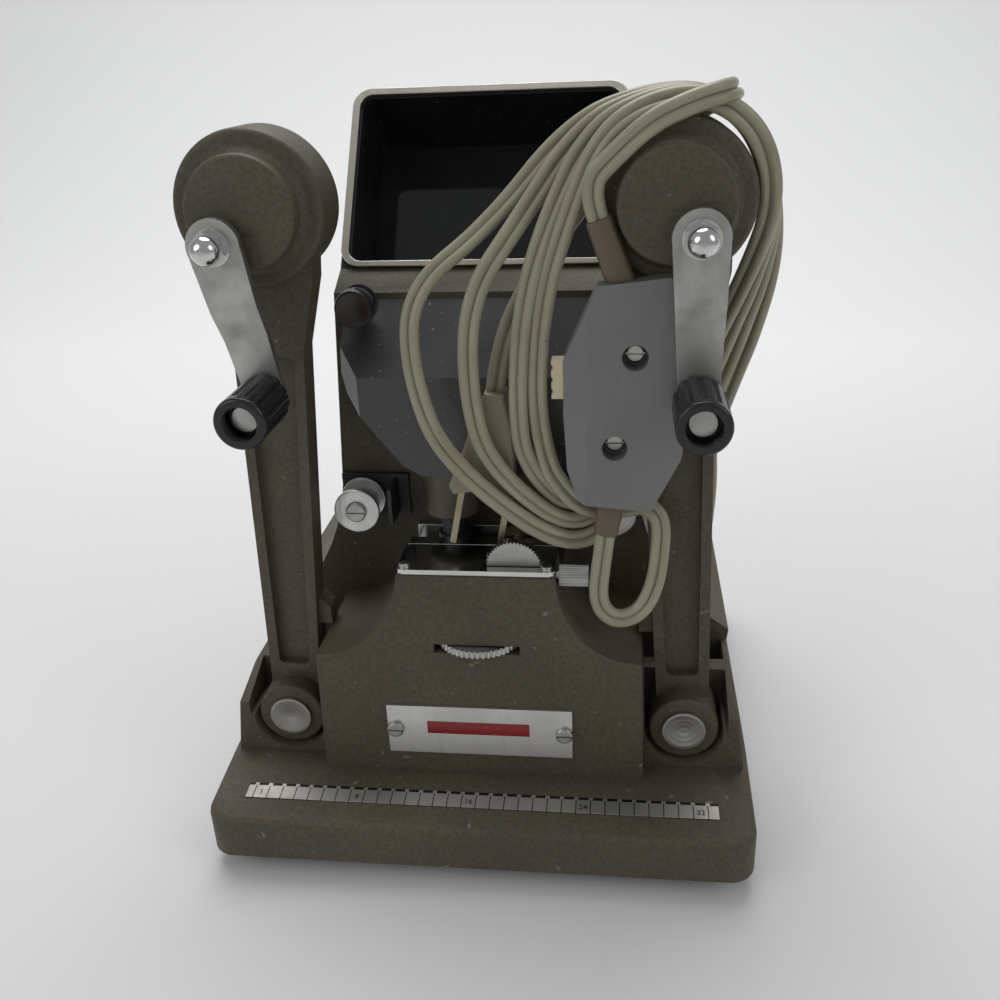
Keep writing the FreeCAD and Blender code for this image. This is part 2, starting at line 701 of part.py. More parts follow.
def make_case():
    shape = front_plate(case_outline(0), case_front, case_back)
    profile = side_plate([(case_front, case_floor), (case_front, 145.5), hood_point(0, rim_thick),
                          hood_point(hood_height, rim_thick), (110, 193.0), (case_back, 156.0),
                          (case_back, case_floor)], -90, 90)
    shape = shape.common(profile)
    shape = soften(shape, 5.0, lambda e: abs(middle(e).x) > hood_half - 1 and middle(e).z > 157
                   and middle(e).y > rim_high.y)
    inner = front_plate(case_outline(case_wall), case_front + wall, case_back - wall)
    low_glass = hood_point(4, hood_depth + glass_thick)
    high_glass = hood_point(hood_height - 4, hood_depth + glass_thick)
    room = side_plate([(case_front + wall, case_floor - 1), (case_front + wall, 132.5),
                       (low_glass[0] - 5, 131.5), low_glass, high_glass,
                       (case_back - wall, 150.0), (case_back - wall, case_floor - 1)], -90, 90)
    foot = box(-side_top + 5, side_top - 5, case_front + wall, case_back - wall, case_floor - 1,
               case_floor + 3)
    shape = shape.cut(inner.common(room)).cut(foot.common(front_plate(
        [(side_top - 5, case_floor - 1), (side_top - 8, case_floor + 3),
         (-side_top + 8, case_floor + 3), (-side_top + 5, case_floor - 1)], 0, 200)))
    tunnel = hood_block(hood_half - 2.2, 2.2, hood_height - 2.2, 0, hood_depth + glass_thick, 3.0)
    shape = shape.cut(tunnel)
    window = box(-26, 26, case_front - 1, case_front + wall + 1, 110, 132)
    back_window = box(-32, 32, case_back - wall - 1, case_back + 1, 56, 134)
    shape = shape.cut(window).cut(back_window)
    shape = shape.cut(post(lens_x, film_depth, lens_bottom - 1, lens_top + 1,
                           lens_radius + seat_gap))
    for x, z in ((sprocket_x, sprocket_z), (lens_x, prism_z)):
        shape = shape.cut(rod(x, case_front - 1, case_front + wall + 1, z,
                              drive_shaft_radius + running_fit))
    for x in (-roller_x, roller_x):
        shape = shape.cut(rod(x, case_front - 1, case_front + wall + 1, roller_z,
                              1.5 + running_fit))
    shape = shape.cut(rod(focus_x, case_front - 1, case_front + 9, focus_z, 1.5 + running_fit))
    for x, z in back_screw_places:
        shape = shape.cut(rod(x, case_back - wall - 1, case_back + 1, z, screw_shank + running_fit))
    return shape


back_screw_places = [(-34, 60), (34, 60), (-34, 130), (34, 130)]


def make_rear_cover():
    front = case_back + 0.02
    plate = box(-37, 37, front, front + back_cover_thick, 52, 138)
    plate = soften(plate, 4.0, lambda e: runs_along(e, V(0, 1, 0)))
    for i in range(7):
        z = 66 + i * 5.5
        plate = plate.cut(box(-20, 20, front - 1, front + 4, z, z + 2.2))
    for x, z in back_screw_places:
        plate = plate.cut(rod(x, front - 1, front + 4, z, screw_shank + running_fit))
    for x in (-25, 21.5):
        rib = side_plate([(front + 0.5, 104.0), (case_back - 15.9, 108.3), (case_back - 6.0, 132.8),
                          (front + 0.5, 132.8)], x, x + 3.5)
        plate = plate.fuse(rib)
    return plate


def make_rear_mirror():
    return side_plate([(case_back - 16.0, 108.35), (case_back - 17.4, 108.9),
                       (case_back - 6.3, 136.4), (case_back - 4.9, 135.85)], -26, 26)


def make_case_screws():
    parts = []
    for x, z in back_screw_places:
        parts.append(screw(x, case_back + back_cover_thick + 0.04, z, V(0, 1, 0), 4.5, 2.2))
    for x, y in bottom_screw_places:
        parts.append(screw(x, y, foot_height - 0.02, V(0, 0, -1), 7.0, 2.2))
    return group(*parts)


def make_rim():
    outer = hood_block(hood_half + 0.4, 0.0, hood_height + 0.4, 0, rim_thick - 0.02, 5.4)
    return outer.cut(hood_block(hood_half - rim_width, rim_width, hood_height - rim_width,
                                -1, rim_thick + 1, 3.6))


def make_screen_glass():
    return hood_block(hood_half - 2.3, 2.3, hood_height - 2.3, hood_depth,
                      hood_depth + glass_thick - 0.05, 2.9)


# Arms, drawn for the right side and mirrored for the left
pivot = V(pivot_x, 0, pivot_z)
head = V(head_x, 0, head_z)
up_arm = unit(head - pivot)
across = V(up_arm.z, 0, -up_arm.x)
arm_length = (head - pivot).Length
gear_centre = (crank_teeth + spindle_teeth) * tooth_module / 2
crank_x = head_x + 5.0
crank_z = head_z - math.sqrt(gear_centre ** 2 - 25.0)


def arm_point(up, out):
    p = pivot + up_arm * up + across * out
    return (p.x, p.z)


def make_arm():
    beam = front_plate([arm_point(0, -beam_low_half), arm_point(arm_length - 34, -beam_high_half),
                        arm_point(arm_length - 17, -12.4), arm_point(arm_length, -13),
                        arm_point(arm_length, 13), arm_point(arm_length - 17, 12.4),
                        arm_point(arm_length - 34, beam_high_half), arm_point(0, beam_low_half)],
                       beam_front, arm_back)
    high = arm_length - 36
    share = high / (arm_length - 34)
    half_high = beam_low_half + (beam_high_half - beam_low_half) * share - flange
    pocket = front_plate([arm_point(13, -beam_low_half + flange), arm_point(high, -half_high),
                          arm_point(high, half_high), arm_point(13, beam_low_half - flange)],
                         beam_front - 1, beam_front + beam_recess)
    pocket = soften(pocket, 1.5, lambda e: runs_along(e, V(0, 1, 0)))
    boss = rod(pivot_x, boss_front, arm_back, pivot_z, boss_radius)
    boss = soften(boss, 0.8, lambda e: middle(e).y < boss_front + 0.01)
    drum = rod(head_x, boss_front, arm_back, head_z, head_radius)
    drum = soften(drum, 1.4, lambda e: middle(e).y < boss_front + 0.01)
    raised = rod(head_x, raised_front, boss_front + 1, head_z, raised_radius)
    raised = soften(raised, 1.0, lambda e: middle(e).y < raised_front + 0.01)
    skirt = Part.makeCone(raised_radius, raised_radius + 1.6, 1.6,
                          V(head_x, boss_front - 1.6, head_z), V(0, 1, 0))
    heel = front_plate([arm_point(25.9, -11.3), arm_point(31, -11.0), arm_point(35, -6.5),
                        arm_point(25.9, -6.5)], beam_front + 2, arm_back)
    shape = beam.cut(pocket).fuse(boss).fuse(drum).fuse(raised).fuse(skirt).fuse(heel)
    shape = shape.cut(rod(head_x, 31.0, arm_back + 1, head_z, gear_room))
    shape = shape.cut(rod(head_x, arm_back - cover_thick - 0.05, arm_back + 1, head_z,
                          cover_radius + seat_gap))
    shape = shape.cut(rod(head_x, 26.5, 32, head_z, spindle_shaft_radius + running_fit))
    shape = shape.cut(rod(crank_x, 20, 32, crank_z, crank_shaft_radius + running_fit))
    return shape.cut(rod(pivot_x, 20, 50, pivot_z, pin_radius + running_fit))


def make_pivot_pin():
    front = boss_front - seat_gap - pin_disc_thick
    disc = rod(pivot_x, front, front + pin_disc_thick, pivot_z, pin_disc_radius)
    dimple = Part.makeCone(pin_disc_radius - 0.6, 0.0, 0.6, V(pivot_x, front, pivot_z), V(0, 1, 0))
    return disc.cut(dimple).fuse(rod(pivot_x, front + 0.5, lug_back, pivot_z, pin_radius))


def make_head_cover():
    shape = rod(head_x, arm_back - cover_thick, arm_back, head_z, cover_radius)
    shape = shape.fuse(rod(head_x, arm_back - cover_thick - 2, arm_back, head_z, 4.5))
    shape = shape.cut(rod(head_x, 30, 50, head_z, spindle_shaft_radius + running_fit))
    return shape


def make_crank_gear():
    gear = spur_gear(crank_teeth, gear_width, 0)
    gear.translate(V(crank_x, gear_front, crank_z))
    shaft = rod(crank_x, crank_front + crank_thick + 0.02, gear_front + gear_width + 1.5, crank_z,
                crank_shaft_radius)
    stud = rod(crank_x, 12.2, 21, crank_z, crank_stud_radius)
    return gear.fuse(shaft).fuse(stud)


def make_spindle():
    toward = math.degrees(math.atan2(crank_x - head_x, crank_z - head_z))
    gear = spur_gear(spindle_teeth, gear_width,
                     meshing_turn(spindle_teeth, toward, crank_teeth, 0))
    gear.translate(V(head_x, gear_front, head_z))
    shape = gear.fuse(rod(head_x, 27.0, arm_back + 1, head_z, spindle_shaft_radius))
    shape = shape.fuse(rod(head_x, arm_back + 0.15, arm_back + 1.8, head_z, 6.0))
    stub = rod(head_x, arm_back + 1.5, spindle_end, head_z, spindle_radius - 0.7)
    shape = shape.fuse(stub)
    for turn in (0, 120, 240):
        fin = box(-0.7, 0.7, arm_back + 1.5, spindle_end - 2, 0, spindle_radius)
        fin.rotate(V(0, 0, 0), V(0, 1, 0), turn)
        fin.translate(head)
        shape = shape.fuse(fin)
    return shape


def crank_place(side, shape):
    """Hangs a piece, drawn below the crank's axis, at that side's lean."""
    hung = shape.copy()
    mirror = 1 if side == "right" else -1
    hung.rotate(V(0, 0, 0), V(0, 1, 0), -crank_lean[side])
    hung.translate(V(mirror * crank_x, 0, crank_z))
    return hung


def make_crank():
    back = crank_front + crank_thick + crank_joggle
    outline = front_plate([(-crank_round + 0.1, -1.5), (-crank_tip, -crank_reach),
                           (crank_tip, -crank_reach), (crank_round - 0.1, -1.5)], crank_front, back)
    shape = outline.fuse(rod(0, crank_front, back, 0, crank_round))
    shape = shape.fuse(rod(0, crank_front, back, -crank_reach, crank_tip))
    bend = -crank_reach * 0.45
    profile = side_plate([(crank_front, 10), (crank_front, bend + 2),
                          (crank_front + crank_joggle, bend - 5),
                          (crank_front + crank_joggle, -50), (back, -50), (back, bend - 5),
                          (back - crank_joggle, bend + 2), (back - crank_joggle, 10)], -20, 20)
    shape = shape.common(profile)
    shape = shape.cut(rod(0, 0, 30, 0, crank_stud_radius + running_fit))
    return shape.cut(rod(0, 0, 30, -crank_reach, rivet_radius + running_fit))


def make_crank_nut():
    hexagon = [(3.9 * math.sin(math.radians(60 * i)), 3.9 * math.cos(math.radians(60 * i)))
               for i in range(6)]
    base = front_plate(hexagon, crank_front - 3.2, crank_front - 0.02)
    washer = rod(0, crank_front - 0.8, crank_front - 0.02, 0, 4.2)
    dome = rod(0, crank_front - 7.2, crank_front - 1, 0, 3.3)
    dome = soften(dome, 2.9, lambda e: middle(e).y < crank_front - 7)
    shape = dome.fuse(base).fuse(washer)
    return shape.cut(rod(0, 12.15, 30, 0, crank_stud_radius + running_fit))


def make_handle():
    front = 0.5
    back = crank_front + crank_joggle - 0.3
    shape = rod(0, front, back, 0, handle_radius)
    shape = soften(shape, 0.9, lambda e: isinstance(e.Curve, Part.Circle))
    for i in range(handle_flutes):
        angle = 2 * math.pi * i / handle_flutes
        reach = handle_radius + 0.55
        flute = rod(reach * math.sin(angle), front + 2.2, back + 1, reach * math.cos(angle), 1.0)
        shape = shape.cut(flute)
    shape = shape.cut(rod(0, front - 1, front + 5, 0, 4.0))
    return shape.cut(rod(0, front, back + 1, 0, rivet_radius + running_fit))


def make_rivet():
    back = crank_front + crank_joggle + crank_thick
    shape = rod(0, 4.4, back, 0, rivet_radius)
    cap = rod(0, 4.2, 5.4, 0, 3.4)
    return shape.fuse(soften(cap, 0.5, lambda e: middle(e).y < 4.3))


def save_arms():
    right = {"arm": make_arm(), "pivot_pin": make_pivot_pin(), "head_cover": make_head_cover(),
             "crank_gear": make_crank_gear(), "spindle": make_spindle()}
    for name, shape in right.items():
        save("right_" + name, shape)
        save("left_" + name, left_of(shape))
    low = V(0, 0, -crank_reach)
    hung = {"crank": make_crank(), "crank_nut": make_crank_nut(), "handle": make_handle(),
            "handle_rivet": make_rivet()}
    hung["handle"].translate(low)
    hung["handle_rivet"].translate(low)
    for side in ("left", "right"):
        for name, shape in hung.items():
            save(side + "_" + name, crank_place(side, shape))


# In-line switch
box_front = 21.7
box_back = 32.4
box_shift = V(-0.2, 0, -6.5)
box_corners = [(26.6, 109.5), (24.3, 116), (23.4, 131.5), (23.4, 142.5), (31.4, 160.6),
               (48.0, 162.4), (54.4, 146.5), (51.0, 120), (44.3, 106.4), (28.0, 108)]
slider_z = 131.8
slider_half = 4.6
slider_travel = 2.4
switch_screw_places = [(39.8, 137.9), (35.4, 116.1)]


def make_switch_box():
    points = [(x + box_shift.x, z + box_shift.z) for x, z in box_corners]
    shape = front_plate(points, box_front, box_back)
    relief_of_head = side_plate([(box_back - 5.2, 153.5), (box_back - 5.2, 170), (box_back + 1, 170),
                                 (box_back + 1, 146.5), (box_back - 0.2, 146.5)], 0, 80)
    shape = shape.cut(relief_of_head)
    bevel = [V(19, box_front - 1, 90), V(30.5, box_front - 1, 90), V(23.0, box_front + 3.4, 90),
             V(19, box_front + 3.4, 90)]
    bevel_cut = Part.Face(Part.makePolygon(bevel + bevel[:1])).extrude(V(0, 0, 75))
    shape = shape.cut(bevel_cut)
    shape = shape.cut(box(22.0, 27.6, 24.9, 29.6, slider_z - slider_half - slider_travel - 0.3,
                          slider_z + slider_half + 0.3))
    shape = shape.cut(make_reliefs())
    for x, z in switch_screw_places:
        shape = shape.cut(rod(x, box_front - 1, box_front + 5, z, 3.0))
        shape = shape.cut(rod(x, box_front + 1, box_front + 9, z, screw_shank + running_fit))
    return shape


def make_switch_screws():
    return group(*[screw(x, box_front + 4.98, z, V(0, -1, 0), 3.8, 2.2)
                   for x, z in switch_screw_places])


def make_slider():
    shape = box(20.6, 27.4, 25.1, 29.4, slider_z - slider_half, slider_z + slider_half)
    for i in range(3):
        z = slider_z - 2.9 + i * 2.9
        shape = shape.cut(Part.makeCylinder(0.7, 6, V(20.4, 24.5, z), V(0, 1, 0)))
    return shape


relief_low = [V(34.86, 27.1, 102.7), V(33.4, 26.6, 91.5)]
relief_high = [V(37.1, 25.36, 152.3), V(31.4, 25.0, 168.0)]


def tapered(start, end, wide, narrow):
    """A strain relief whose narrow end is the face that the cord meets."""
    span = end - start
    return Part.makeCone(wide, narrow, span.Length, start, span)


def make_reliefs():
    return group(tapered(relief_low[0], relief_low[1], 2.9, 2.5),
                 tapered(relief_high[0], relief_high[1], 3.0, 2.5))


# Plug
plug_middle = 34.9
plug_half = 4.2
plug_points = [(3.8, 126.56), (8.6, 125.84), (11.0, 116.5), (10.3, 98.6), (7.2, 97.6), (1.4, 100.6),
               (-5.2, 99.6), (-6.3, 101.8)]
plug_top = V(6.2, plug_middle, 126.21)


def make_plug():
    shape = front_plate(plug_points, plug_middle - plug_half, plug_middle + plug_half)
    shape = soften(shape, 1.2, lambda e: not runs_along(e, V(0, 1, 0)) and middle(e).y < plug_middle)
    return shape.cut(make_blades())


def blade(top, tip):
    span = tip - top
    piece = Part.makeBox(1.6, 0.9, span.Length, V(-0.8, -0.45, 0))
    piece.Placement = FreeCAD.Placement(top, FreeCAD.Rotation(V(0, 0, 1), span))
    return piece


def make_blades():
    return group(blade(V(-2.7, plug_middle, 103.0), V(-6.6, plug_middle, 84.5)),
                 blade(V(9.0, plug_middle, 101.0), V(5.6, plug_middle, 83.0)))


# Cord routes, chosen by hand
cord_exit = V(pivot_x, 55.3, pivot_z)
hank_heading = unit(V(6, 1.4, 18))
hank_start = V(63, 55, 116)
free_points = [cord_exit, V(54.8, 52.2, 32.4), V(54.9, 49.9, 34.9), V(55.3, 49.2, 41),
               V(56.4, 49.0, 52), V(58.2, 50.2, 70), V(60.4, 52.3, 93),
               hank_start - hank_heading * 11, hank_start]

# Each station of a turn gives the inner strand's place, the step to the next strand out, and how
# far the outermost strand fans away. The strands are numbered outwards from 0.
turns = 4
fan = [0.0, 0.0, 0.45, 1.0]
stations = [
    (V(52, 45, 116), V(3.4, 3.1, 0), V(0, 0, 0)),
    (V(58.2, 45.6, 134), V(3.7, 3.6, 0), V(0, 0, 0)),
    (V(65.5, 40.0, 153), V(2.4, 3.8, 0), V(0, 0, 0)),
    (V(69.4, 31.6, 170), V(0.4, 4.4, 0), V(0, 0, 0)),
    (V(65.5, 30.0, 184.5), V(0, 4.3, 0), V(0, 0, 0)),
    (V(55, 29.6, 192), V(0, 4.3, 0), V(0, 0, 0)),
    (V(43, 29.2, 191.6), V(-0.3, 4.3, 0.2), V(0, 0, 0)),
    (V(31.6, 28.8, 185), V(-2.2, 3.9, 0.6), V(0, 0, 0)),
    (V(24.4, 28.6, 168), V(-4.2, 2.2, 0), V(-6, 3, -3)),
    (V(18.6, 27.6, 150), V(-4.4, 0.3, 0), V(-18, 1, 2)),
    (V(16.4, 28.0, 126), V(-4.4, -0.1, 0), V(-16, -1.5, 6)),
    (V(19.0, 30.2, 108), V(-5.6, -0.9, 0), V(-7.5, -2.2, 2)),
    (V(25.4, 36.0, 98.6), V(1.2, -1.6, -5.9), V(-1, 0, 0)),
    (V(37.4, 43.4, 114.2), V(0.8, 1.3, -4.8), V(0, 0, 0)),
    (V(42.8, 44.8, 111.7), V(3.0, 1.8, -3.6), V(0, 0, 0)),
]
tail_points = [V(23.4, 28.6, 102.2), V(26.6, 29.6, 98.4), V(31.5, 31.8, 95.6), V(38, 33, 95.8),
               V(43.2, 32, 97.4), V(47.2, 30.2, 94.4), V(47, 28.2, 86), V(45.8, 27, 76.5),
               V(42, 26, 69), V(35.5, 25.2, 67.6), V(31.3, 25.4, 72.8),
               relief_low[1] + unit(relief_low[1] - relief_low[0]) * 8, relief_low[1]]
plug_lead_points = [relief_high[1], relief_high[1] + unit(relief_high[1] - relief_high[0]) * 7.5,
                    V(34.4, 23.9, 182.4), V(41.5, 24.2, 189.8),
                    V(49.5, 25.9, 195.4), V(54, 31, 197.2), V(55, 40, 197.4), V(53, 48.4, 193.6),
                    V(45, 50.5, 185.5), V(34.5, 50, 176), V(24, 46.5, 165), V(14.5, 40, 151),
                    V(8.0, plug_middle, 138), plug_top]


def hank_points():
    places = [hank_start, hank_start + hank_heading * 9]
    for turn in range(turns):
        strand = turns - 1 - turn
        first = 1 if turn == 0 else 0
        last = len(stations) if turn < turns - 1 else len(stations) - 3
        for inner, step, spread in stations[first:last]:
            places.append(inner + step * strand + spread * fan[strand])
    return places + tail_points


def cord_wire(points):
    """Straight runs joined by the largest tangent arcs, and the radius of each arc."""
    edges = []
    radii = []
    start = points[0]
    for before, corner, after in zip(points, points[1:], points[2:]):
        coming = unit(corner - before)
        going = unit(after - corner)
        turn = math.acos(max(-1.0, min(1.0, coming.dot(going))))
        reach = 0.45 * min((corner - before).Length, (after - corner).Length)
        radius = reach / math.tan(turn / 2)
        inward = unit(going - coming)
        first = corner - coming * reach
        last = corner + going * reach
        centre_gap = radius / math.cos(turn / 2) - radius
        edges.append(Part.LineSegment(start, first).toShape())
        edges.append(Part.Arc(first, corner + inward * centre_gap, last).toShape())
        radii.append(radius)
        start = last
    edges.append(Part.LineSegment(start, points[-1]).toShape())
    return Part.Wire(edges), radii


def make_cord(name, points):
    wire, radii = cord_wire(points)
    direction = points[1] - points[0]
    section = Part.Wire(Part.makeCircle(cord_radius, points[0], direction))
    tube = wire.makePipeShell([section], True, False)
    expected = math.pi * cord_radius ** 2 * wire.Length
    print(name, "length", round(wire.Length, 1), "least radius", round(min(radii), 2),
          "volume share", round(tube.Volume / expected, 4))
    print("  radii", [round(r, 1) for r in radii])
    return tube, wire


def least_self_gap(wire, name):
    """Least gap between parts of one cord that are more than three diameters apart along it."""
    count = int(wire.Length / 1.0)
    places = wire.discretize(count)
    pace = wire.Length / (count - 1)
    skip = int(3 * cord_diameter / pace) + 1
    least = min((a - b).Length for n, a in enumerate(places) for b in places[n + skip:])
    print(name, "least gap to itself", round(least - cord_diameter, 2), "wanted", least_gap)


def save_cords():
    routes = {"cord_free": free_points, "cord_hank": hank_points(),
              "cord_plug_lead": plug_lead_points}
    for name, points in routes.items():
        tube, wire = make_cord(name, points)
        least_self_gap(wire, name)
        save(name, tube)


def make_grommet():
    front = cord_exit.y
    flange_ring = rod(pivot_x, front, case_front - seat_gap, pivot_z, 4.4)
    neck = rod(pivot_x, front, case_front + wall + 1.2, pivot_z, grommet_neck)
    return flange_ring.fuse(neck)


def save_fixed():
    save("base_casting", make_base())
    save("bottom_plate", make_bottom())
    save("case_screws", make_case_screws())
    save("rubber_feet", make_feet())
    save("frame_scale", make_scale())
    save("nameplate", make_nameplate())
    save("slotted_screws", make_slotted_screws())
    save("lamp_house", make_case())
    save("rear_cover", make_rear_cover())
    save("lamp_socket", make_lamp_socket())
    save("lamp_bulb", make_lamp_bulb())
    save("gate_plate", make_gate_plate())
    save("film_channel", make_channel())
    save("lens_elements", make_lens_elements())
    save("lens_mount", make_lens_mount())
    save("lens_barrel", make_lens_barrel())
    save("mirror_cover", make_mirror_cover())
    save("front_mirror", make_front_mirror())
    save("rear_mirror", make_rear_mirror())
    save("screen_rim", make_rim())
    save("screen_glass", make_screen_glass())
    save("roller_bracket", make_bracket())
    save("cord_grommet", make_grommet())


def save_turning():
    save("sprocket_shaft", make_drive_shaft())
    save("sprocket", make_sprocket())
    save("inching_wheel", make_inching_wheel())
    save("prism", make_prism())
    save("prism_shaft", make_prism_shaft())
    save("framing_wheel", make_framing_wheel())
    save("side_knob", make_side_knob())
    save("focus_knob", make_focus_knob())
    save("right_roller", make_roller())
    save("left_roller", left_of(make_roller()))


def save_switch_and_plug():
    save("switch_box", make_switch_box())
    save("switch_screws", make_switch_screws())
    save("switch_slider", make_slider())
    save("cord_reliefs", make_reliefs())
    save("plug_body", make_plug())
    save("plug_blades", make_blades())


save_fixed()
save_turning()
save_arms()
save_switch_and_plug()
save_cords()
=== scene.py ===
import json
import math

import bmesh
import bpy
from mathutils import Matrix, Vector


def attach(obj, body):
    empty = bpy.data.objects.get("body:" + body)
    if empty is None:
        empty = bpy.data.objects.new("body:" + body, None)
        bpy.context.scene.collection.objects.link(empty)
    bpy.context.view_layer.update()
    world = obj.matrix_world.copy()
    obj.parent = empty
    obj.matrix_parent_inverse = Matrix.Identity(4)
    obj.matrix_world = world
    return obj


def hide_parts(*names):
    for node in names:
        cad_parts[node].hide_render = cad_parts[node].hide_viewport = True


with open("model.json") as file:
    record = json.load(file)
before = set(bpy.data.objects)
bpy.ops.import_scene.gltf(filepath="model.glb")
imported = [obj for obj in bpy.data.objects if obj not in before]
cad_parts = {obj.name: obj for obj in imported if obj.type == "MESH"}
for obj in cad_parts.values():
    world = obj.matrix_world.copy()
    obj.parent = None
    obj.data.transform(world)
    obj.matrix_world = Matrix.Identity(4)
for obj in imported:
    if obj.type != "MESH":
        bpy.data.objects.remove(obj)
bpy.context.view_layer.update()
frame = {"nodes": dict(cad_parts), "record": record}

mm = 0.001
frontFace = -75.0  # where the base's front face is along Y, in mm
nodes = frame["nodes"]
scene = bpy.context.scene
scene.view_settings.view_transform = "Standard"


# Camera, at the photograph's angle
camera = dict(place=(36.3, -273.6, 202.4), yaw=-0.128, pitch=0.422, roll=0.040, lens=36.2)


def makeCamera():
    yaw, pitch, roll = camera["yaw"], camera["pitch"], camera["roll"]
    ahead = Vector((math.sin(yaw) * math.cos(pitch), math.cos(yaw) * math.cos(pitch), -math.sin(pitch)))
    right = Vector((math.cos(yaw), -math.sin(yaw), 0))
    down = ahead.cross(right)
    tiltedRight = right * math.cos(roll) + down * math.sin(roll)
    tiltedUp = right * math.sin(roll) - down * math.cos(roll)
    data = bpy.data.cameras.new("camera")
    data.lens = camera["lens"]
    data.sensor_width = 36
    data.clip_start = 0.01
    eye = bpy.data.objects.new("camera", data)
    turn = Matrix((tiltedRight, tiltedUp, -ahead)).transposed().to_4x4()
    eye.matrix_world = Matrix.Translation(Vector(camera["place"]) * mm) @ turn
    scene.collection.objects.link(eye)
    scene.camera = eye


makeCamera()
print("camera")


# Small helpers for meshes: vertices merge within a distance in metres, a CAD flat is whole within an angle
# in degrees, and each kind of piece has the angle in degrees from which an edge is drawn sharp
weld = dict(cad=2e-6, own=1e-6)
flatWithin = 0.6
sharpFrom = dict(detail=30, casting=36, moulding=40, cord=50)


def addPiece(name, bm, body, material, slot, kind, *replaced):
    mesh = bpy.data.meshes.new(name)
    bm.to_mesh(mesh)
    bm.free()
    piece = bpy.data.objects.new(name, mesh)
    scene.collection.objects.link(piece)
    for face in mesh.polygons:
        face.use_smooth = True
    mesh.set_sharp_from_angle(angle=math.radians(sharpFrom[kind]))
    for one in material if isinstance(material, list) else [material]:
        mesh.materials.append(one)
    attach(piece, body)
    if replaced:
        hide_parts(*replaced)
    return piece


def cadCopy(name):  # a merged copy of a CAD node, with its flats made whole again
    bm = bmesh.new()
    bm.from_mesh(nodes[name].data)
    bmesh.ops.remove_doubles(bm, verts=bm.verts, dist=weld["cad"])
    bmesh.ops.dissolve_limit(bm, angle_limit=math.radians(flatWithin), verts=bm.verts, edges=bm.edges)
    return bm


def softEdges(piece, width, segments=2, angle=34):  # rounds edges sharper than the angle, by a width in mm
    bevel = piece.modifiers.new("softEdges", "BEVEL")
    bevel.width = width * mm
    bevel.segments = segments
    bevel.limit_method = "ANGLE"
    bevel.angle_limit = math.radians(angle)
    bevel.use_clamp_overlap = True
    bevel.harden_normals = True


def only(kind, items):
    return [item for item in items if isinstance(item, kind)]


def turned(profile, centre, steps):  # a lathe shape about Y, from pairs of a radius and a place along Y in mm
    bm = bmesh.new()
    ring = [bm.verts.new(centre + Vector((0, place * mm, radius * mm))) for radius, place in profile]
    edges = [bm.edges.new(pair) for pair in zip(ring, ring[1:])]
    bmesh.ops.spin(bm, geom=ring + edges, cent=centre, axis=(0, 1, 0), angle=2 * math.pi, steps=steps,
                   use_merge=True)
    bmesh.ops.remove_doubles(bm, verts=bm.verts, dist=weld["own"])
    bmesh.ops.holes_fill(bm, edges=bm.edges)
    bmesh.ops.recalc_face_normals(bm, faces=bm.faces)
    return bm


# Small helpers for materials
class Shader:
    def __init__(self, tree):
        self.tree = tree

    def add(self, kind, settings=None, **inputs):
        made = self.tree.nodes.new(kind)
        for key, value in (settings or {}).items():
            setattr(made, key, value)
        for key, value in inputs.items():
            self.feed(made.inputs[key.replace("_", " ")], value)
        return made

    def feed(self, socket, value):
        if isinstance(value, bpy.types.NodeSocket):
            self.tree.links.new(value, socket)
        else:
            socket.default_value = value

    def math(self, operation, first, second=0.0):
        made = self.tree.nodes.new("ShaderNodeMath")
        made.operation = operation
        self.feed(made.inputs[0], first)
        self.feed(made.inputs[1], second)
        return made.outputs[0]

    def mix(self, share, first, second):
        made = self.tree.nodes.new("ShaderNodeMix")
        made.data_type = "RGBA"
        self.feed(made.inputs[0], share)
        self.feed(made.inputs[6], first)
        self.feed(made.inputs[7], second)
        return made.outputs[2]

    def wash(self, mask, share, first, second):  # a share of the second colour where the mask is full
        return self.mix(self.math("MULTIPLY", mask, share), first, second)

    def spread(self, value, low, high, newLow=0.0, newHigh=1.0):
        made = self.add("ShaderNodeMapRange")
        for socket, given in zip(made.inputs, (value, low, high, newLow, newHigh)):
            self.feed(socket, given)
        return made.outputs[0]

    def place(self):
        return self.add("ShaderNodeTexCoord").outputs["Object"]

    def noise(self, scale, detail, roughness, vector=None):
        return self.add("ShaderNodeTexNoise", Vector=vector or self.place(), Scale=scale, Detail=detail,
                        Roughness=roughness).outputs["Fac"]


def newGroup(name, inputs, outputs):
    group = bpy.data.node_groups.new(name, "ShaderNodeTree")
    for label, kind, value in inputs:
        socket = group.interface.new_socket(label, in_out="INPUT", socket_type="NodeSocket" + kind)
        socket.default_value = value
    for label, kind in outputs:
        group.interface.new_socket(label, in_out="OUTPUT", socket_type="NodeSocket" + kind)
    shader = Shader(group)
    return group, shader, shader.add("NodeGroupInput").outputs, shader.add("NodeGroupOutput").inputs


# Baked crackle paint: the noises' scales, and how much of a speck of dust covers the paint
crackle = dict(wrinkles=900.0, grain=2600.0, patches=24.0, specks=420.0, dust=0.3)


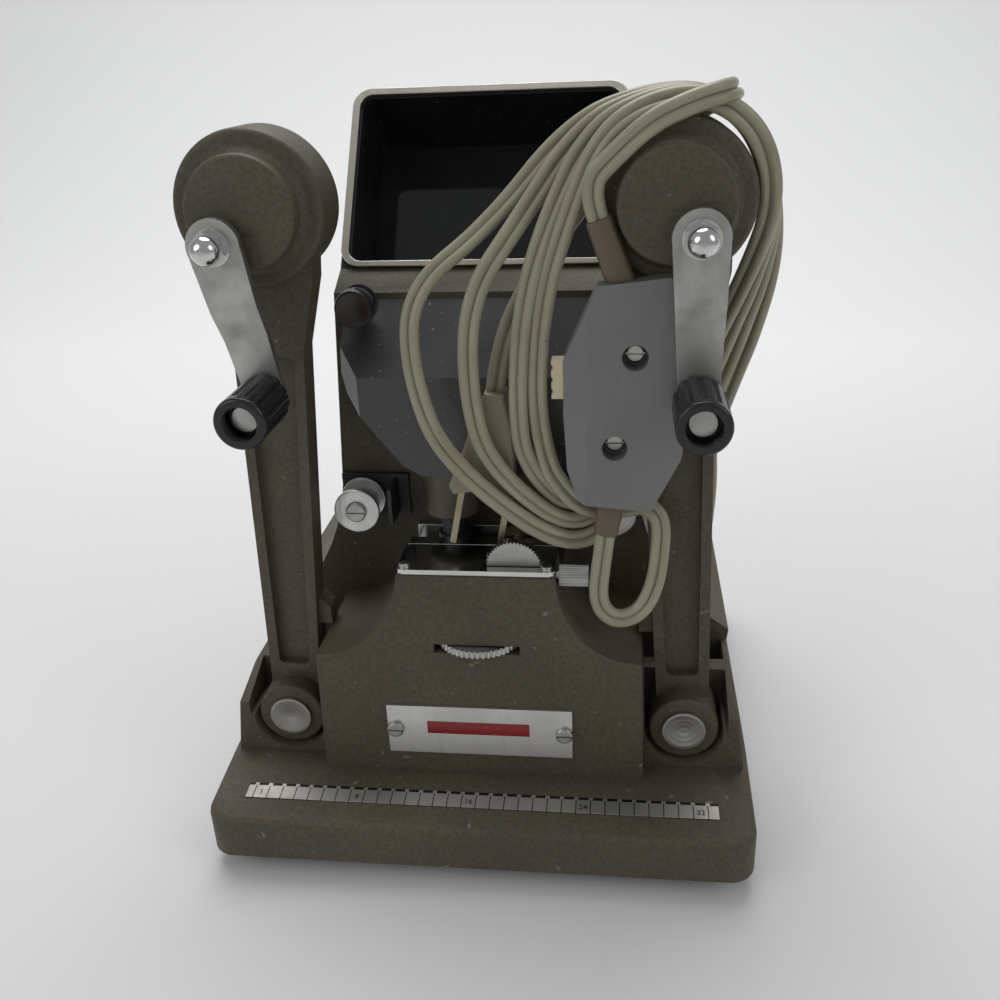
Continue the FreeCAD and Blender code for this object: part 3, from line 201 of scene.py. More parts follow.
def makeCrackleGroup():
    group, shader, given, result = newGroup(
        "crackleSkin", [("Paint", "Color", (0.1, 0.1, 0.1, 1))],
        [("Color", "Color"), ("Height", "Float"), ("Roughness", "Float")])
    place = shader.place()
    cells = shader.add("ShaderNodeTexVoronoi", {"feature": "SMOOTH_F1"}, Vector=place,
                       Scale=crackle["wrinkles"], Smoothness=0.6).outputs["Distance"]
    grain = shader.noise(crackle["grain"], 3.0, 0.6, place)
    patches = shader.noise(crackle["patches"], 3.0, 0.5, place)
    specks = shader.spread(shader.noise(crackle["specks"], 2.0, 0.5, place), 0.71, 0.76)
    height = shader.math("ADD", shader.math("MULTIPLY", cells, 0.8), shader.math("MULTIPLY", grain, 0.5))
    # Painted shade: the paint is darkened in the low hollows of the wrinkles, where the height is small
    paintedHollowShade = shader.mix(0.42, given["Paint"], (0.008, 0.007, 0.004, 1))
    shadedWrinkles = shader.mix(shader.spread(height, 0.25, 0.75), paintedHollowShade, given["Paint"])
    brown = shader.mix(shader.spread(patches, 0.35, 0.7, 0.0, 0.35), shadedWrinkles, (0.044, 0.035, 0.022, 1))
    shader.feed(result["Color"], shader.wash(specks, crackle["dust"], brown, (0.42, 0.40, 0.34, 1)))
    shader.feed(result["Height"], height)
    shader.feed(result["Roughness"], shader.spread(patches, 0.3, 0.7, 0.5, 0.66))
    return group


# Wear of bright and smooth surfaces: how scratches are stretched and turned, and the scale of the specks
wear = dict(stretch=(1.0, 1.0, 0.06), turn=(0.3, 0.6, 0.4), specks=900.0)


def makeScuffGroup():
    group, shader, given, result = newGroup(
        "scuffs",
        [("Scratch size", "Float", 260.0), ("Smudge size", "Float", 45.0)],
        [("Scratches", "Float"), ("Smudges", "Float"), ("Specks", "Float")])
    place = shader.place()
    stretched = shader.add("ShaderNodeMapping", Vector=place, Rotation=wear["turn"],
                           Scale=wear["stretch"]).outputs[0]
    lines = shader.noise(given["Scratch size"], 6.0, 0.75, stretched)
    smudges = shader.noise(given["Smudge size"], 4.0, 0.55, place)
    specks = shader.noise(wear["specks"], 2.0, 0.5, place)
    shader.feed(result["Scratches"], shader.spread(lines, 0.55, 0.72))
    shader.feed(result["Smudges"], shader.spread(smudges, 0.35, 0.7))
    shader.feed(result["Specks"], shader.spread(specks, 0.70, 0.74))
    return group


latheTurns = 4200.0  # radians of the rings' wave in a metre of radius


def makeRingsGroup():  # lathe rings about an axis along Y through a point
    group, shader, given, result = newGroup(
        "latheRings", [("Centre", "Vector", (0, 0, 0))], [("Height", "Float")])
    away = shader.add("ShaderNodeVectorMath", {"operation": "SUBTRACT"})
    shader.feed(away.inputs[0], shader.place())
    shader.feed(away.inputs[1], given["Centre"])
    flat = shader.add("ShaderNodeVectorMath", {"operation": "MULTIPLY"})
    shader.feed(flat.inputs[0], away.outputs[0])
    shader.feed(flat.inputs[1], (1, 0, 1))
    distance = shader.add("ShaderNodeVectorMath", {"operation": "LENGTH"})
    shader.feed(distance.inputs[0], flat.outputs[0])
    turns = shader.math("MULTIPLY", distance.outputs["Value"], latheTurns)
    shader.feed(result["Height"], shader.math("SINE", turns))
    return group


crackleSkin = makeCrackleGroup()
scuffs = makeScuffGroup()
latheRings = makeRingsGroup()


def newMaterial(name, **sockets):
    material = bpy.data.materials.new(name)
    material.use_nodes = True
    shader = Shader(material.node_tree)
    surface = material.node_tree.nodes["Principled BSDF"]
    for key, value in sockets.items():
        surface.inputs[key.replace("_", " ")].default_value = value
    return material, shader, surface.inputs


def useGroup(shader, group, **inputs):
    made = shader.add("ShaderNodeGroup", {"node_tree": group})
    for key, value in inputs.items():
        shader.feed(made.inputs[key.replace("_", " ")], value)
    return made.outputs


def bump(shader, surface, height, strength, distance):  # the distance is in mm
    made = shader.add("ShaderNodeBump", Height=height, Strength=strength, Distance=distance * mm)
    shader.feed(surface["Normal"], made.outputs[0])


def finishSurface(shader, surface, marks, colour, rough):  # rough holds the clean and the smudged one
    shader.feed(surface["Base Color"], colour)
    shader.feed(surface["Roughness"], shader.spread(marks["Smudges"], 0.0, 1.0, *rough))


def shade(colour, factor, lift=0.0):
    return tuple(part * factor + lift for part in colour[:3]) + (1,)


def cracklePaint(name, paint):
    material, shader, surface = newMaterial(name, Specular_IOR_Level=0.42)
    skin = useGroup(shader, crackleSkin, Paint=paint)
    shader.feed(surface["Base Color"], skin["Color"])
    shader.feed(surface["Roughness"], skin["Roughness"])
    bump(shader, surface, skin["Height"], 0.55, 0.12)
    return material


def smoothPaint(name, paint, rough, coat=0.0):
    material, shader, surface = newMaterial(name, Coat_Weight=coat, Coat_Roughness=0.15)
    marks = useGroup(shader, scuffs)
    worn = shader.wash(marks["Smudges"], 0.35, paint, shade(paint, 1.7, 0.004))
    dusty = shader.wash(marks["Specks"], 0.5, worn, (0.35, 0.34, 0.3, 1))
    finishSurface(shader, surface, marks, dusty, rough)
    bump(shader, surface, shader.noise(700.0, 2.0, 0.5), 0.08, 0.05)
    return material


def brightMetal(name, colour, rough, dirt=(0.1, 0.09, 0.07, 1), dirty=0.35):
    material, shader, surface = newMaterial(name, Metallic=1.0)
    marks = useGroup(shader, scuffs, Scratch_size=520.0, Smudge_size=120.0)
    stained = shader.wash(marks["Smudges"], dirty, colour, dirt)
    scratched = shader.wash(marks["Scratches"], 0.3, stained, shade(colour, 0.5))
    finishSurface(shader, surface, marks, scratched, rough)
    bump(shader, surface, marks["Scratches"], 0.15, 0.03)
    return material


def latheMetal(name, colour, centre, rough, strength):  # the rings' centre is in mm
    material, shader, surface = newMaterial(name, Metallic=1.0)
    marks = useGroup(shader, scuffs, Scratch_size=700.0, Smudge_size=160.0)
    rings = useGroup(shader, latheRings, Centre=[part * mm for part in centre])
    stained = shader.wash(marks["Smudges"], 0.3, colour, (0.22, 0.21, 0.18, 1))
    finishSurface(shader, surface, marks, stained, rough)
    bump(shader, surface, rings["Height"], strength, 0.03)
    return material


def mouldedPlastic(name, colour, rough, soft=0.0):
    material, shader, surface = newMaterial(name, Subsurface_Weight=soft, Subsurface_Scale=0.002)
    marks = useGroup(shader, scuffs, Smudge_size=70.0)
    grubby = shader.wash(marks["Smudges"], 0.25, colour, shade(colour, 0.72))
    speckled = shader.wash(marks["Specks"], 0.35, grubby, shade(colour, 0.3))
    finishSurface(shader, surface, marks, speckled, rough)
    bump(shader, surface, shader.noise(520.0, 3.0, 0.6), 0.12, 0.08)
    return material


def clearGlass(name, colour, rough):
    material, shader, surface = newMaterial(name, Transmission_Weight=1.0, IOR=1.5)
    marks = useGroup(shader, scuffs)
    cloudy = shader.wash(marks["Smudges"], 0.1, colour, (0.6, 0.62, 0.6, 1))
    finishSurface(shader, surface, marks, cloudy, rough)
    return material


olive = cracklePaint("oliveCrackle", (0.090, 0.075, 0.048, 1))
blackPaint = smoothPaint("blackPaint", (0.018, 0.018, 0.018, 1), (0.42, 0.6))
coverPaint = smoothPaint("coverPaint", (0.038, 0.038, 0.037, 1), (0.34, 0.48), 0.3)
# Inside the hood's tunnel: black paint, made far darker than the other black paint as painted shade
hoodBlackAndShade = smoothPaint("hoodBlackAndShade", (0.0025, 0.0025, 0.0025, 1), (0.5, 0.65))
nickel = brightMetal("wornNickel", (0.56, 0.53, 0.46, 1), (0.26, 0.46), (0.10, 0.08, 0.05, 1), 0.5)
crankMetal = brightMetal("crankMetal", (0.52, 0.52, 0.50, 1), (0.34, 0.52), (0.12, 0.09, 0.06, 1), 0.45)
chrome = brightMetal("chrome", (0.72, 0.72, 0.71, 1), (0.07, 0.2), (0.2, 0.19, 0.17, 1), 0.25)
steel = brightMetal("screwSteel", (0.45, 0.44, 0.41, 1), (0.25, 0.42))
darkSteel = brightMetal("darkSteel", (0.16, 0.14, 0.11, 1), (0.3, 0.5), (0.05, 0.03, 0.02, 1), 0.6)
aluminium = brightMetal("aluminium", (0.62, 0.62, 0.60, 1), (0.3, 0.45), (0.3, 0.29, 0.26, 1), 0.3)
brass = brightMetal("dullBlades", (0.42, 0.38, 0.27, 1), (0.35, 0.5), (0.16, 0.12, 0.06, 1), 0.5)
plateMetal = brightMetal("plateMetal", (0.74, 0.73, 0.71, 1), (0.38, 0.5), (0.5, 0.48, 0.44, 1), 0.3)
mirrorSilver = brightMetal("frontMirror", (0.85, 0.86, 0.87, 1), (0.02, 0.08), (0.6, 0.6, 0.6, 1), 0.1)
rollerMetal = latheMetal("rollerMetal", (0.66, 0.66, 0.65, 1), (34.8, -25, 88.1), (0.3, 0.45), 0.2)
discMetal = latheMetal("pivotDiscs", (0.50, 0.49, 0.46, 1), (54.8, -27.5, 32.4), (0.34, 0.49), 0.35)
barrelPaint = smoothPaint("barrelPaint", (0.060, 0.052, 0.034, 1), (0.35, 0.5))
scaleInk = smoothPaint("scaleInk", (0.012, 0.012, 0.012, 1), (0.4, 0.5))
redEnamel = smoothPaint("redEnamel", (0.19, 0.004, 0.005, 1), (0.3, 0.45), 0.2)
blackPlastic = mouldedPlastic("blackPlastic", (0.010, 0.010, 0.010, 1), (0.22, 0.38))
brownDish = mouldedPlastic("brownDish", (0.030, 0.014, 0.007, 1), (0.3, 0.45))
greyPlastic = mouldedPlastic("greyPlastic", (0.165, 0.167, 0.160, 1), (0.26, 0.38), 0.06)
creamPlastic = mouldedPlastic("creamPlastic", (0.55, 0.49, 0.33, 1), (0.3, 0.42), 0.1)
plugPlastic = mouldedPlastic("plugPlastic", (0.235, 0.205, 0.150, 1), (0.3, 0.45), 0.08)
reliefPlastic = mouldedPlastic("reliefPlastic", (0.125, 0.092, 0.058, 1), (0.22, 0.36), 0.15)
rubber = mouldedPlastic("blackRubber", (0.012, 0.012, 0.012, 1), (0.6, 0.75))
ceramic = mouldedPlastic("lampCeramic", (0.6, 0.57, 0.48, 1), (0.4, 0.55))
glass = clearGlass("clearGlass", (0.95, 0.97, 0.97, 1), (0.03, 0.08))
print("materials")


# The flat two-core cord. Its points and sizes are in mm, with Y 0 at the base's front face, and its three
# lengths are in metres. Each reach goes past a relief's narrow end, along its line
cord = dict(
    coreRadius=1.25, coreOut=1.2, coreOverlap=1.02, coreSteps=5, splineSteps=9,
    face=(0.1, 1, -0.25), carried=0.75, twistLength=31, mainTwist=0.35, leadTwist=0.2,
    turns=4, fan=[0.0, 0.0, 0.45, 1.0], hankStart=(63, 55, 116), heading=(6, 1.4, 18), runIn=11, runOut=9,
    reliefLow=[(34.86, 27.1, 102.7), (33.4, 26.6, 91.5)], lowReach=8,
    reliefHigh=[(37.1, 25.36, 152.3), (31.4, 25.0, 168.0)], highReach=7.5,
    plugTop=(6.2, 34.9, 126.21), freeLength=0.0884, hankLength=1.1067, leadLength=0.147)
freeRoute = [
    (54.8, 55.3, 32.4), (54.8, 52.2, 32.4), (54.9, 49.9, 34.9), (55.3, 49.2, 41), (56.4, 49.0, 52),
    (58.2, 50.2, 70), (60.4, 52.3, 93)]
# Each station of a turn: the inner strand's place, the step to the next strand out, the outermost one's fan
stations = [
    ((52, 45, 116), (3.4, 3.1, 0), (0, 0, 0)),
    ((58.2, 45.6, 134), (3.7, 3.6, 0), (0, 0, 0)),
    ((65.5, 40.0, 153), (2.4, 3.8, 0), (0, 0, 0)),
    ((69.4, 31.6, 170), (0.4, 4.4, 0), (0, 0, 0)),
    ((65.5, 30.0, 184.5), (0, 4.3, 0), (0, 0, 0)),
    ((55, 29.6, 192), (0, 4.3, 0), (0, 0, 0)),
    ((43, 29.2, 191.6), (-0.3, 4.3, 0.2), (0, 0, 0)),
    ((31.6, 28.8, 185), (-2.2, 3.9, 0.6), (0, 0, 0)),
    ((24.4, 28.6, 168), (-4.2, 2.2, 0), (-6, 3, -3)),
    ((18.6, 27.6, 150), (-4.4, 0.3, 0), (-18, 1, 2)),
    ((16.4, 28.0, 126), (-4.4, -0.1, 0), (-16, -1.5, 6)),
    ((19.0, 30.2, 108), (-5.6, -0.9, 0), (-7.5, -2.2, 2)),
    ((25.4, 36.0, 98.6), (1.2, -1.6, -5.9), (-1, 0, 0)),
    ((37.4, 43.4, 114.2), (0.8, 1.3, -4.8), (0, 0, 0)),
    ((42.8, 44.8, 111.7), (3.0, 1.8, -3.6), (0, 0, 0)),
]
tailStarts = 12  # the last turn leaves the hank after this many stations
tailRoute = [
    (23.4, 28.6, 102.2), (26.6, 29.6, 98.4), (31.5, 31.8, 95.6), (38, 33, 95.8), (43.2, 32, 97.4),
    (47.2, 30.2, 94.4), (47, 28.2, 86), (45.8, 27, 76.5), (42, 26, 69), (35.5, 25.2, 67.6),
    (31.3, 25.4, 72.8)]
leadRoute = [
    (34.6, 23.6, 181.0), (42.0, 23.4, 187.6), (50.6, 24.2, 191.2), (58.2, 27.6, 193.0), (60.6, 36.5, 193.0),
    (58.6, 46.0, 191.0), (48.5, 50.5, 185.5), (34.5, 50, 176), (24, 46.5, 165), (14.5, 40, 151),
    (8.0, 34.9, 138)]


def beyond(pair, reach):  # a point on the line of a relief, past its narrow end
    start, end = (Vector(point) for point in pair)
    return end + (end - start).normalized() * reach


def hankRoute():
    start = Vector(cord["hankStart"])
    heading = Vector(cord["heading"]).normalized()
    places = [start - heading * cord["runIn"], start, start + heading * cord["runOut"]]
    for turn in range(cord["turns"]):
        strand = cord["turns"] - 1 - turn
        first = 1 if turn == 0 else 0
        last = len(stations) if strand else tailStarts
        for inner, step, spread in stations[first:last]:
            places.append(Vector(inner) + Vector(step) * strand + Vector(spread) * cord["fan"][strand])
    return places + tailRoute + [beyond(cord["reliefLow"], cord["lowReach"]), cord["reliefLow"][1]]


def inPart(points):
    return [(Vector(point) + Vector((0, frontFace, 0))) * mm for point in points]


def pathOf(points):  # reads the smooth line of a NURBS spline with these control points
    data = bpy.data.curves.new("route", "CURVE")
    data.dimensions = "3D"
    data.resolution_u = cord["splineSteps"]
    spline = data.splines.new("NURBS")
    spline.points.add(len(points) - 1)
    for point, place in zip(spline.points, points):
        point.co = (*place, 1)
    spline.use_endpoint_u = True
    spline.order_u = 3
    route = bpy.data.objects.new("route", data)
    scene.collection.objects.link(route)
    line = bpy.data.meshes.new_from_object(route)
    path = [vert.co.copy() for vert in line.vertices]
    bpy.data.objects.remove(route)
    bpy.data.meshes.remove(line)
    return path


def coreSection():  # outline of two round cores side by side, as pairs across and through in metres
    radius, out = cord["coreRadius"] * mm, cord["coreOut"] * mm
    reach = math.pi - math.acos(out / radius) * cord["coreOverlap"]
    outline = []
    for side in (1, -1):
        for i in range(2 * cord["coreSteps"] + 1):
            angle = reach * (i / cord["coreSteps"] - 1)
            outline.append((side * (out + radius * math.cos(angle)), side * radius * math.sin(angle)))
    return outline


def flatWays(path):  # the cord's heading and wide way at each point, turning slowly along it
    ways = []
    before = None
    for i in range(len(path)):
        heading = (path[min(i + 1, len(path) - 1)] - path[max(i - 1, 0)]).normalized()
        wide = heading.cross(Vector(cord["face"]))
        if before is not None:
            carried = before - heading * before.dot(heading)
            if wide.dot(carried) < 0:
                wide = -wide
            wide = carried.normalized() * cord["carried"] + wide * (1 - cord["carried"])
        wide = (wide - heading * wide.dot(heading)).normalized()
        before = wide
        ways.append((heading, wide))
    return ways


def twinCord(name, points, material, twist):
    path = pathOf(points)
    section = coreSection()
    bm = bmesh.new()
    grain = bm.loops.layers.uv.new("UVMap")
    rings = []
    run = [0.0]
    for i, (heading, wide) in enumerate(flatWays(path)):
        if i:
            run.append(run[-1] + (path[i] - path[i - 1]).length)
        angle = twist * math.sin(run[-1] / (cord["twistLength"] * mm))
        turnedWide = Matrix.Rotation(angle, 3, heading) @ wide
        through = heading.cross(turnedWide)
        rings.append([bm.verts.new(path[i] + turnedWide * out + through * deep) for out, deep in section])
    count = len(section)
    for i, (ring, following) in enumerate(zip(rings, rings[1:])):
        for j in range(count):
            face = bm.faces.new((ring[j], ring[(j + 1) % count], following[(j + 1) % count], following[j]))
            for loop, (u, v) in zip(face.loops, ((i, j), (i, j + 1), (i + 1, j + 1), (i + 1, j))):
                loop[grain].uv = (run[u], v / count)
    bm.faces.new(reversed(rings[0]))
    bm.faces.new(rings[-1])
    bmesh.ops.recalc_face_normals(bm, faces=bm.faces)
    return addPiece(name, bm, "right_arm", material, "cord_plastic", "cord"), path


def cordVinyl():
    material, shader, surface = newMaterial("cordVinyl", Subsurface_Weight=0.06, Subsurface_Scale=0.002)
    marks = useGroup(shader, scuffs, Smudge_size=38.0)
    along = shader.add("ShaderNodeUVMap", {"uv_map": "UVMap"}).outputs[0]
    streaks = shader.add("ShaderNodeMapping", Vector=along, Scale=(60.0, 5.0, 1.0)).outputs[0]
    streak = shader.noise(1.0, 3.0, 0.6, streaks)
    clean = shader.mix(shader.spread(streak, 0.35, 0.7), (0.285, 0.270, 0.190, 1), (0.355, 0.335, 0.245, 1))
    browned = shader.wash(marks["Smudges"], 0.45, clean, (0.21, 0.175, 0.115, 1))
    specked = shader.wash(marks["Specks"], 0.5, browned, (0.07, 0.06, 0.04, 1))
    finishSurface(shader, surface, marks, specked, (0.28, 0.45))
    bump(shader, surface, shader.noise(300.0, 3.0, 0.6), 0.1, 0.1)
    return material


def makeCords():
    vinyl = cordVinyl()
    mainRoute = inPart(freeRoute + hankRoute())
    main, mainPath = twinCord("cordMain", mainRoute, vinyl, cord["mainTwist"])
    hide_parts("cord_free", "cord_hank")
    leadStart = [cord["reliefHigh"][1], beyond(cord["reliefHigh"], cord["highReach"])]
    leadPoints = inPart(leadStart + leadRoute + [cord["plugTop"]])
    lead, leadPath = twinCord("cordLead", leadPoints, vinyl, cord["leadTwist"])
    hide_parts("cord_plug_lead")


# Strain reliefs: flat brown sleeves on the cord at each end of the switch, with half sizes in mm
relief = dict(wide=3.35, deep=2.1, tipWide=3.0, squareness=0.3, rounding=(0.35, 2, 50))


def makeReliefs():
    bm = bmesh.new()
    for pair in (cord["reliefLow"], cord["reliefHigh"]):
        start, end = inPart(pair)
        heading = (end - start).normalized()
        across = heading.cross(Vector(cord["face"])).normalized()
        through = heading.cross(across)
        turn = Matrix((across, through, heading)).transposed()
        made = bmesh.ops.create_circle(bm, cap_ends=True, radius=1, segments=32)["verts"]
        for vert in made:  # squares the circle up a little
            grown = max(abs(vert.co.x), abs(vert.co.y)) ** relief["squareness"]
            vert.co = Vector((vert.co.x * relief["wide"], vert.co.y * relief["deep"], 0)) * mm / grown
        cap = list({face for vert in made for face in vert.link_faces})
        tips = only(bmesh.types.BMVert, bmesh.ops.extrude_face_region(bm, geom=cap)["geom"])
        share = relief["tipWide"] / relief["wide"]
        bmesh.ops.scale(bm, vec=(share, share, 1), verts=tips)
        bmesh.ops.translate(bm, vec=(0, 0, (end - start).length), verts=tips)
        place = Matrix.Translation(start) @ turn.to_4x4()
        bmesh.ops.transform(bm, matrix=place, verts=made + tips)
    bmesh.ops.recalc_face_normals(bm, faces=bm.faces)
    piece = addPiece("cordReliefs", bm, "right_arm", reliefPlastic, "relief_plastic", "moulding",
                     "cord_reliefs")
    softEdges(piece, *relief["rounding"])


# Soft mouldings: node, body, finish and slot, then the rounding's width, its segments and its least angle
mouldings = dict(
    switchBox=("switch_box", "right_arm", greyPlastic, "grey_plastic", (1.1, 4, 20)),
    plugBody=("plug_body", "right_arm", plugPlastic, "grey_plastic", (0.7, 3, 30)),
    sliderCap=("switch_slider", "switch_slider", creamPlastic, "cream_plastic", (0.35, 3, 30)))


def makeMouldings():
    for name, (node, body, finish, slot, rounding) in mouldings.items():
        piece = addPiece(name, cadCopy(node), body, finish, slot, "moulding", node)
        softEdges(piece, *rounding)


makeMouldings()
makeReliefs()
makeCords()
print("cords, switch and plug")


# The frame scale: one cell for each film frame, with numbers. All lengths are in mm, from the base's middle
# across, from the lip's front face in the plate's own slope, and for rear along Y
scale = dict(
    cell=3.81, firstLine=-57.495, lineHalf=0.13, tabHalf=0.55, rear=-62.75,
    lipFront=18.2, sink=0.7, thick=1.0, tilt=math.atan2(2.4, 20.0),
    numbers=(1, 8, 16, 24, 32), firstNumber=-59.4, textPlace=10.0, textSize=2.3,
    inkThick=0.02, inkLift=0.04)


def scaleMaterial():
    material, shader, surface = newMaterial("scalePlate", Metallic=0.85)
    marks = useGroup(shader, scuffs, Scratch_size=420.0, Smudge_size=90.0)
    parts = shader.add("ShaderNodeSeparateXYZ", Vector=shader.place()).outputs
    fromFirst = shader.math("SUBTRACT", parts["X"], scale["firstLine"] * mm)
    cells = shader.math("DIVIDE", fromFirst, scale["cell"] * mm)
    fromMiddle = shader.math("ABSOLUTE", shader.math("SUBTRACT", shader.math("FRACT", cells), 0.5))
    fromLine = shader.math("SUBTRACT", 0.5, fromMiddle)
    line = shader.math("LESS_THAN", fromLine, scale["lineHalf"] / scale["cell"])
    window = shader.math("GREATER_THAN", fromLine, scale["tabHalf"] / scale["cell"])
    rear = shader.math("GREATER_THAN", parts["Y"], scale["rear"] * mm)
    front = shader.math("SUBTRACT", 1.0, rear)
    dark = shader.math("MAXIMUM", shader.math("MULTIPLY", line, front), shader.math("MULTIPLY", window, rear))
    silver = shader.wash(marks["Smudges"], 0.4, (0.38, 0.37, 0.34, 1), (0.22, 0.205, 0.18, 1))
    finishSurface(shader, surface, marks, shader.mix(dark, silver, (0.02, 0.018, 0.015, 1)), (0.36, 0.5))
    bump(shader, surface, shader.math("SUBTRACT", 1.0, dark), 0.5, 0.1)
    return material


def onScale(x, y, lift):  # a place on the sloping top of the scale
    flat = Matrix.Rotation(scale["tilt"], 3, "X") @ Vector((x, y, scale["thick"] + lift))
    return (flat + Vector((0, frontFace, scale["lipFront"] - scale["sink"]))) * mm


def makeNumbers():
    for number in scale["numbers"]:
        data = bpy.data.curves.new("number", "FONT")
        data.body = str(number)
        data.size = scale["textSize"] * mm
        data.align_x = "CENTER"
        data.align_y = "CENTER"
        data.extrude = scale["inkThick"] * mm
        data.offset = scale["inkThick"] * mm
        maker = bpy.data.objects.new("number", data)
        scene.collection.objects.link(maker)
        bpy.context.view_layer.update()
        bm = bmesh.new()
        bm.from_mesh(bpy.data.meshes.new_from_object(maker))
        bpy.data.objects.remove(maker)
        across = scale["firstNumber"] + (number - 1) * scale["cell"]
        middle = onScale(across, scale["textPlace"], scale["inkLift"])
        turn = Matrix.Translation(middle) @ Matrix.Rotation(scale["tilt"], 4, "X")
        bmesh.ops.transform(bm, matrix=turn, verts=bm.verts)
        bmesh.ops.remove_doubles(bm, verts=bm.verts, dist=weld["own"])
        addPiece("scaleNumber%d" % number, bm, "base", scaleInk, "black_paint", "detail")


# Soft copies of the machined and cast nodes, whose edges are slightly rounded: node, finish, rounding in mm
castings = dict(
    baseCasting=("base_casting", "olive", 0.40), lampHouse=("lamp_house", "olive", 0.45),
    leftArm=("left_arm", "olive", 0.50), rightArm=("right_arm", "olive", 0.50),
    leftHeadCover=("left_head_cover", "olive", 0.30), rightHeadCover=("right_head_cover", "olive", 0.30),
    mirrorCover=("mirror_cover", "cover", 0.50), rearCover=("rear_cover", "blackPaint", 0.30),
    screenRim=("screen_rim", "nickel", 0.25), gatePlate=("gate_plate", "chrome", 0.35),
    filmChannel=("film_channel", "chrome", 0.15), rollerBracket=("roller_bracket", "blackPaint", 0.15),
    nameplate=("nameplate", "plate", 0.12), frameScale=("frame_scale", "scale", 0.10),
    leftCrank=("left_crank", "crank", 0.25), rightCrank=("right_crank", "crank", 0.25),
    leftHandle=("left_handle", "blackPlastic", 0.18), rightHandle=("right_handle", "blackPlastic", 0.18),
    leftRoller=("left_roller", "roller", 0.20), rightRoller=("right_roller", "roller", 0.20))
finishes = dict(
    olive=([olive, hoodBlackAndShade], "olive_crackle"), cover=(coverPaint, "black_paint"),
    blackPaint=(blackPaint, "black_paint"), nickel=(nickel, "nickel"), chrome=(chrome, "polished_steel"),
    plate=(plateMetal, "turned_aluminium"), scale=(scaleMaterial(), "turned_aluminium"),
    crank=(crankMetal, "nickel"), blackPlastic=(blackPlastic, "black_plastic"),
    roller=(rollerMetal, "turned_aluminium"))
# The hood's tunnel in mm: its mouth from low to high in Y and Z, half its width, and how deep it goes
hood = dict(low=(-11.0, 151.0), high=(22.0, 193.3), halfWidth=35.9, edge=1.9, skin=0.1, depth=27.3)


def bodyOf(node):
    for body, names in frame["record"]["behaviour"]["bodies"].items():
        if node in names:
            return body


def darkenHood(bm):  # faces inside the hood's tunnel take the second material: black paint, darkened further as painted shade
    low = Vector((0, *hood["low"])) * mm
    high = Vector((0, *hood["high"])) * mm
    along = (high - low).normalized()
    inwards = Vector((0, along.z, -along.y))
    for face in bm.faces:
        place = face.calc_center_median()
        up = (place - low).dot(along)
        deep = (place - low).dot(inwards)
        if abs(place.x) < hood["halfWidth"] * mm and -hood["skin"] * mm < deep < hood["depth"] * mm:
            if hood["edge"] * mm < up < (high - low).length - hood["edge"] * mm:
                face.material_index = 1


def makeCastings():
    for name, (node, finish, width) in castings.items():
        bm = cadCopy(node)
        if node == "lamp_house":
            darkenHood(bm)
        material, slot = finishes[finish]
        softEdges(addPiece(name, bm, bodyOf(node), material, slot, "casting", node), width)


# A plain red bar across the nameplate
redBar = dict(centre=(-0.25, -54.86, 35.7), size=(27.7, 0.14, 3.85), rounding=0.05)


def makeRedBar():
    bm = bmesh.new()
    corners = bmesh.ops.create_cube(bm, size=1)["verts"]
    bmesh.ops.scale(bm, vec=Vector(redBar["size"]) * mm, verts=corners)
    bmesh.ops.translate(bm, vec=Vector(redBar["centre"]) * mm, verts=corners)
    bmesh.ops.bevel(bm, geom=bm.edges[:], offset=redBar["rounding"] * mm, segments=3, profile=0.5,
                    affect="EDGES", material=-1)
    addPiece("nameplateBar", bm, "base", redEnamel, "black_paint", "detail")


# The focus knob: a black spool with a brown dished face, turned from pairs of a radius and a place past front
knob = dict(
    centre=(-30.2, 0, 144.0), front=-30.6, steps=64, dishRadius=3.6, dishDepth=1.5,
    profile=[
        (0.0, 1.15), (1.6, 1.0), (3.0, 0.55), (3.9, 0.0), (4.4, -0.05), (4.75, 0.15), (4.9, 0.6), (4.9, 4.4),
        (4.75, 4.9), (4.3, 5.15), (2.9, 5.2), (2.6, 5.5), (2.6, 7.0), (2.9, 7.3), (4.6, 7.35), (4.85, 7.5),
        (4.85, 7.75), (1.6, 7.8), (1.5, 20.5), (0.0, 20.5)])


def makeFocusKnob():
    centre = Vector(knob["centre"]) * mm
    bm = turned([(radius, place + knob["front"]) for radius, place in knob["profile"]], centre, knob["steps"])
    for face in bm.faces:
        middle = face.calc_center_median() - centre
        inDish = middle.y < (knob["front"] + knob["dishDepth"]) * mm
        if inDish and math.hypot(middle.x, middle.z) < knob["dishRadius"] * mm:
            face.material_index = 1
    addPiece("focusKnob", bm, "focus_knob", [blackPlastic, brownDish], "black_plastic", "detail",
             "focus_knob")


# Finishes of the nodes that stay as they are
def darkGlass():
    material, shader, surface = newMaterial("screenGlass", Specular_IOR_Level=0.4)
    marks = useGroup(shader, scuffs, Smudge_size=28.0)
    hazy = shader.mix(marks["Smudges"], (0.008, 0.009, 0.009, 1), (0.016, 0.018, 0.017, 1))
    finishSurface(shader, surface, marks, hazy, (0.05, 0.12))
    return material


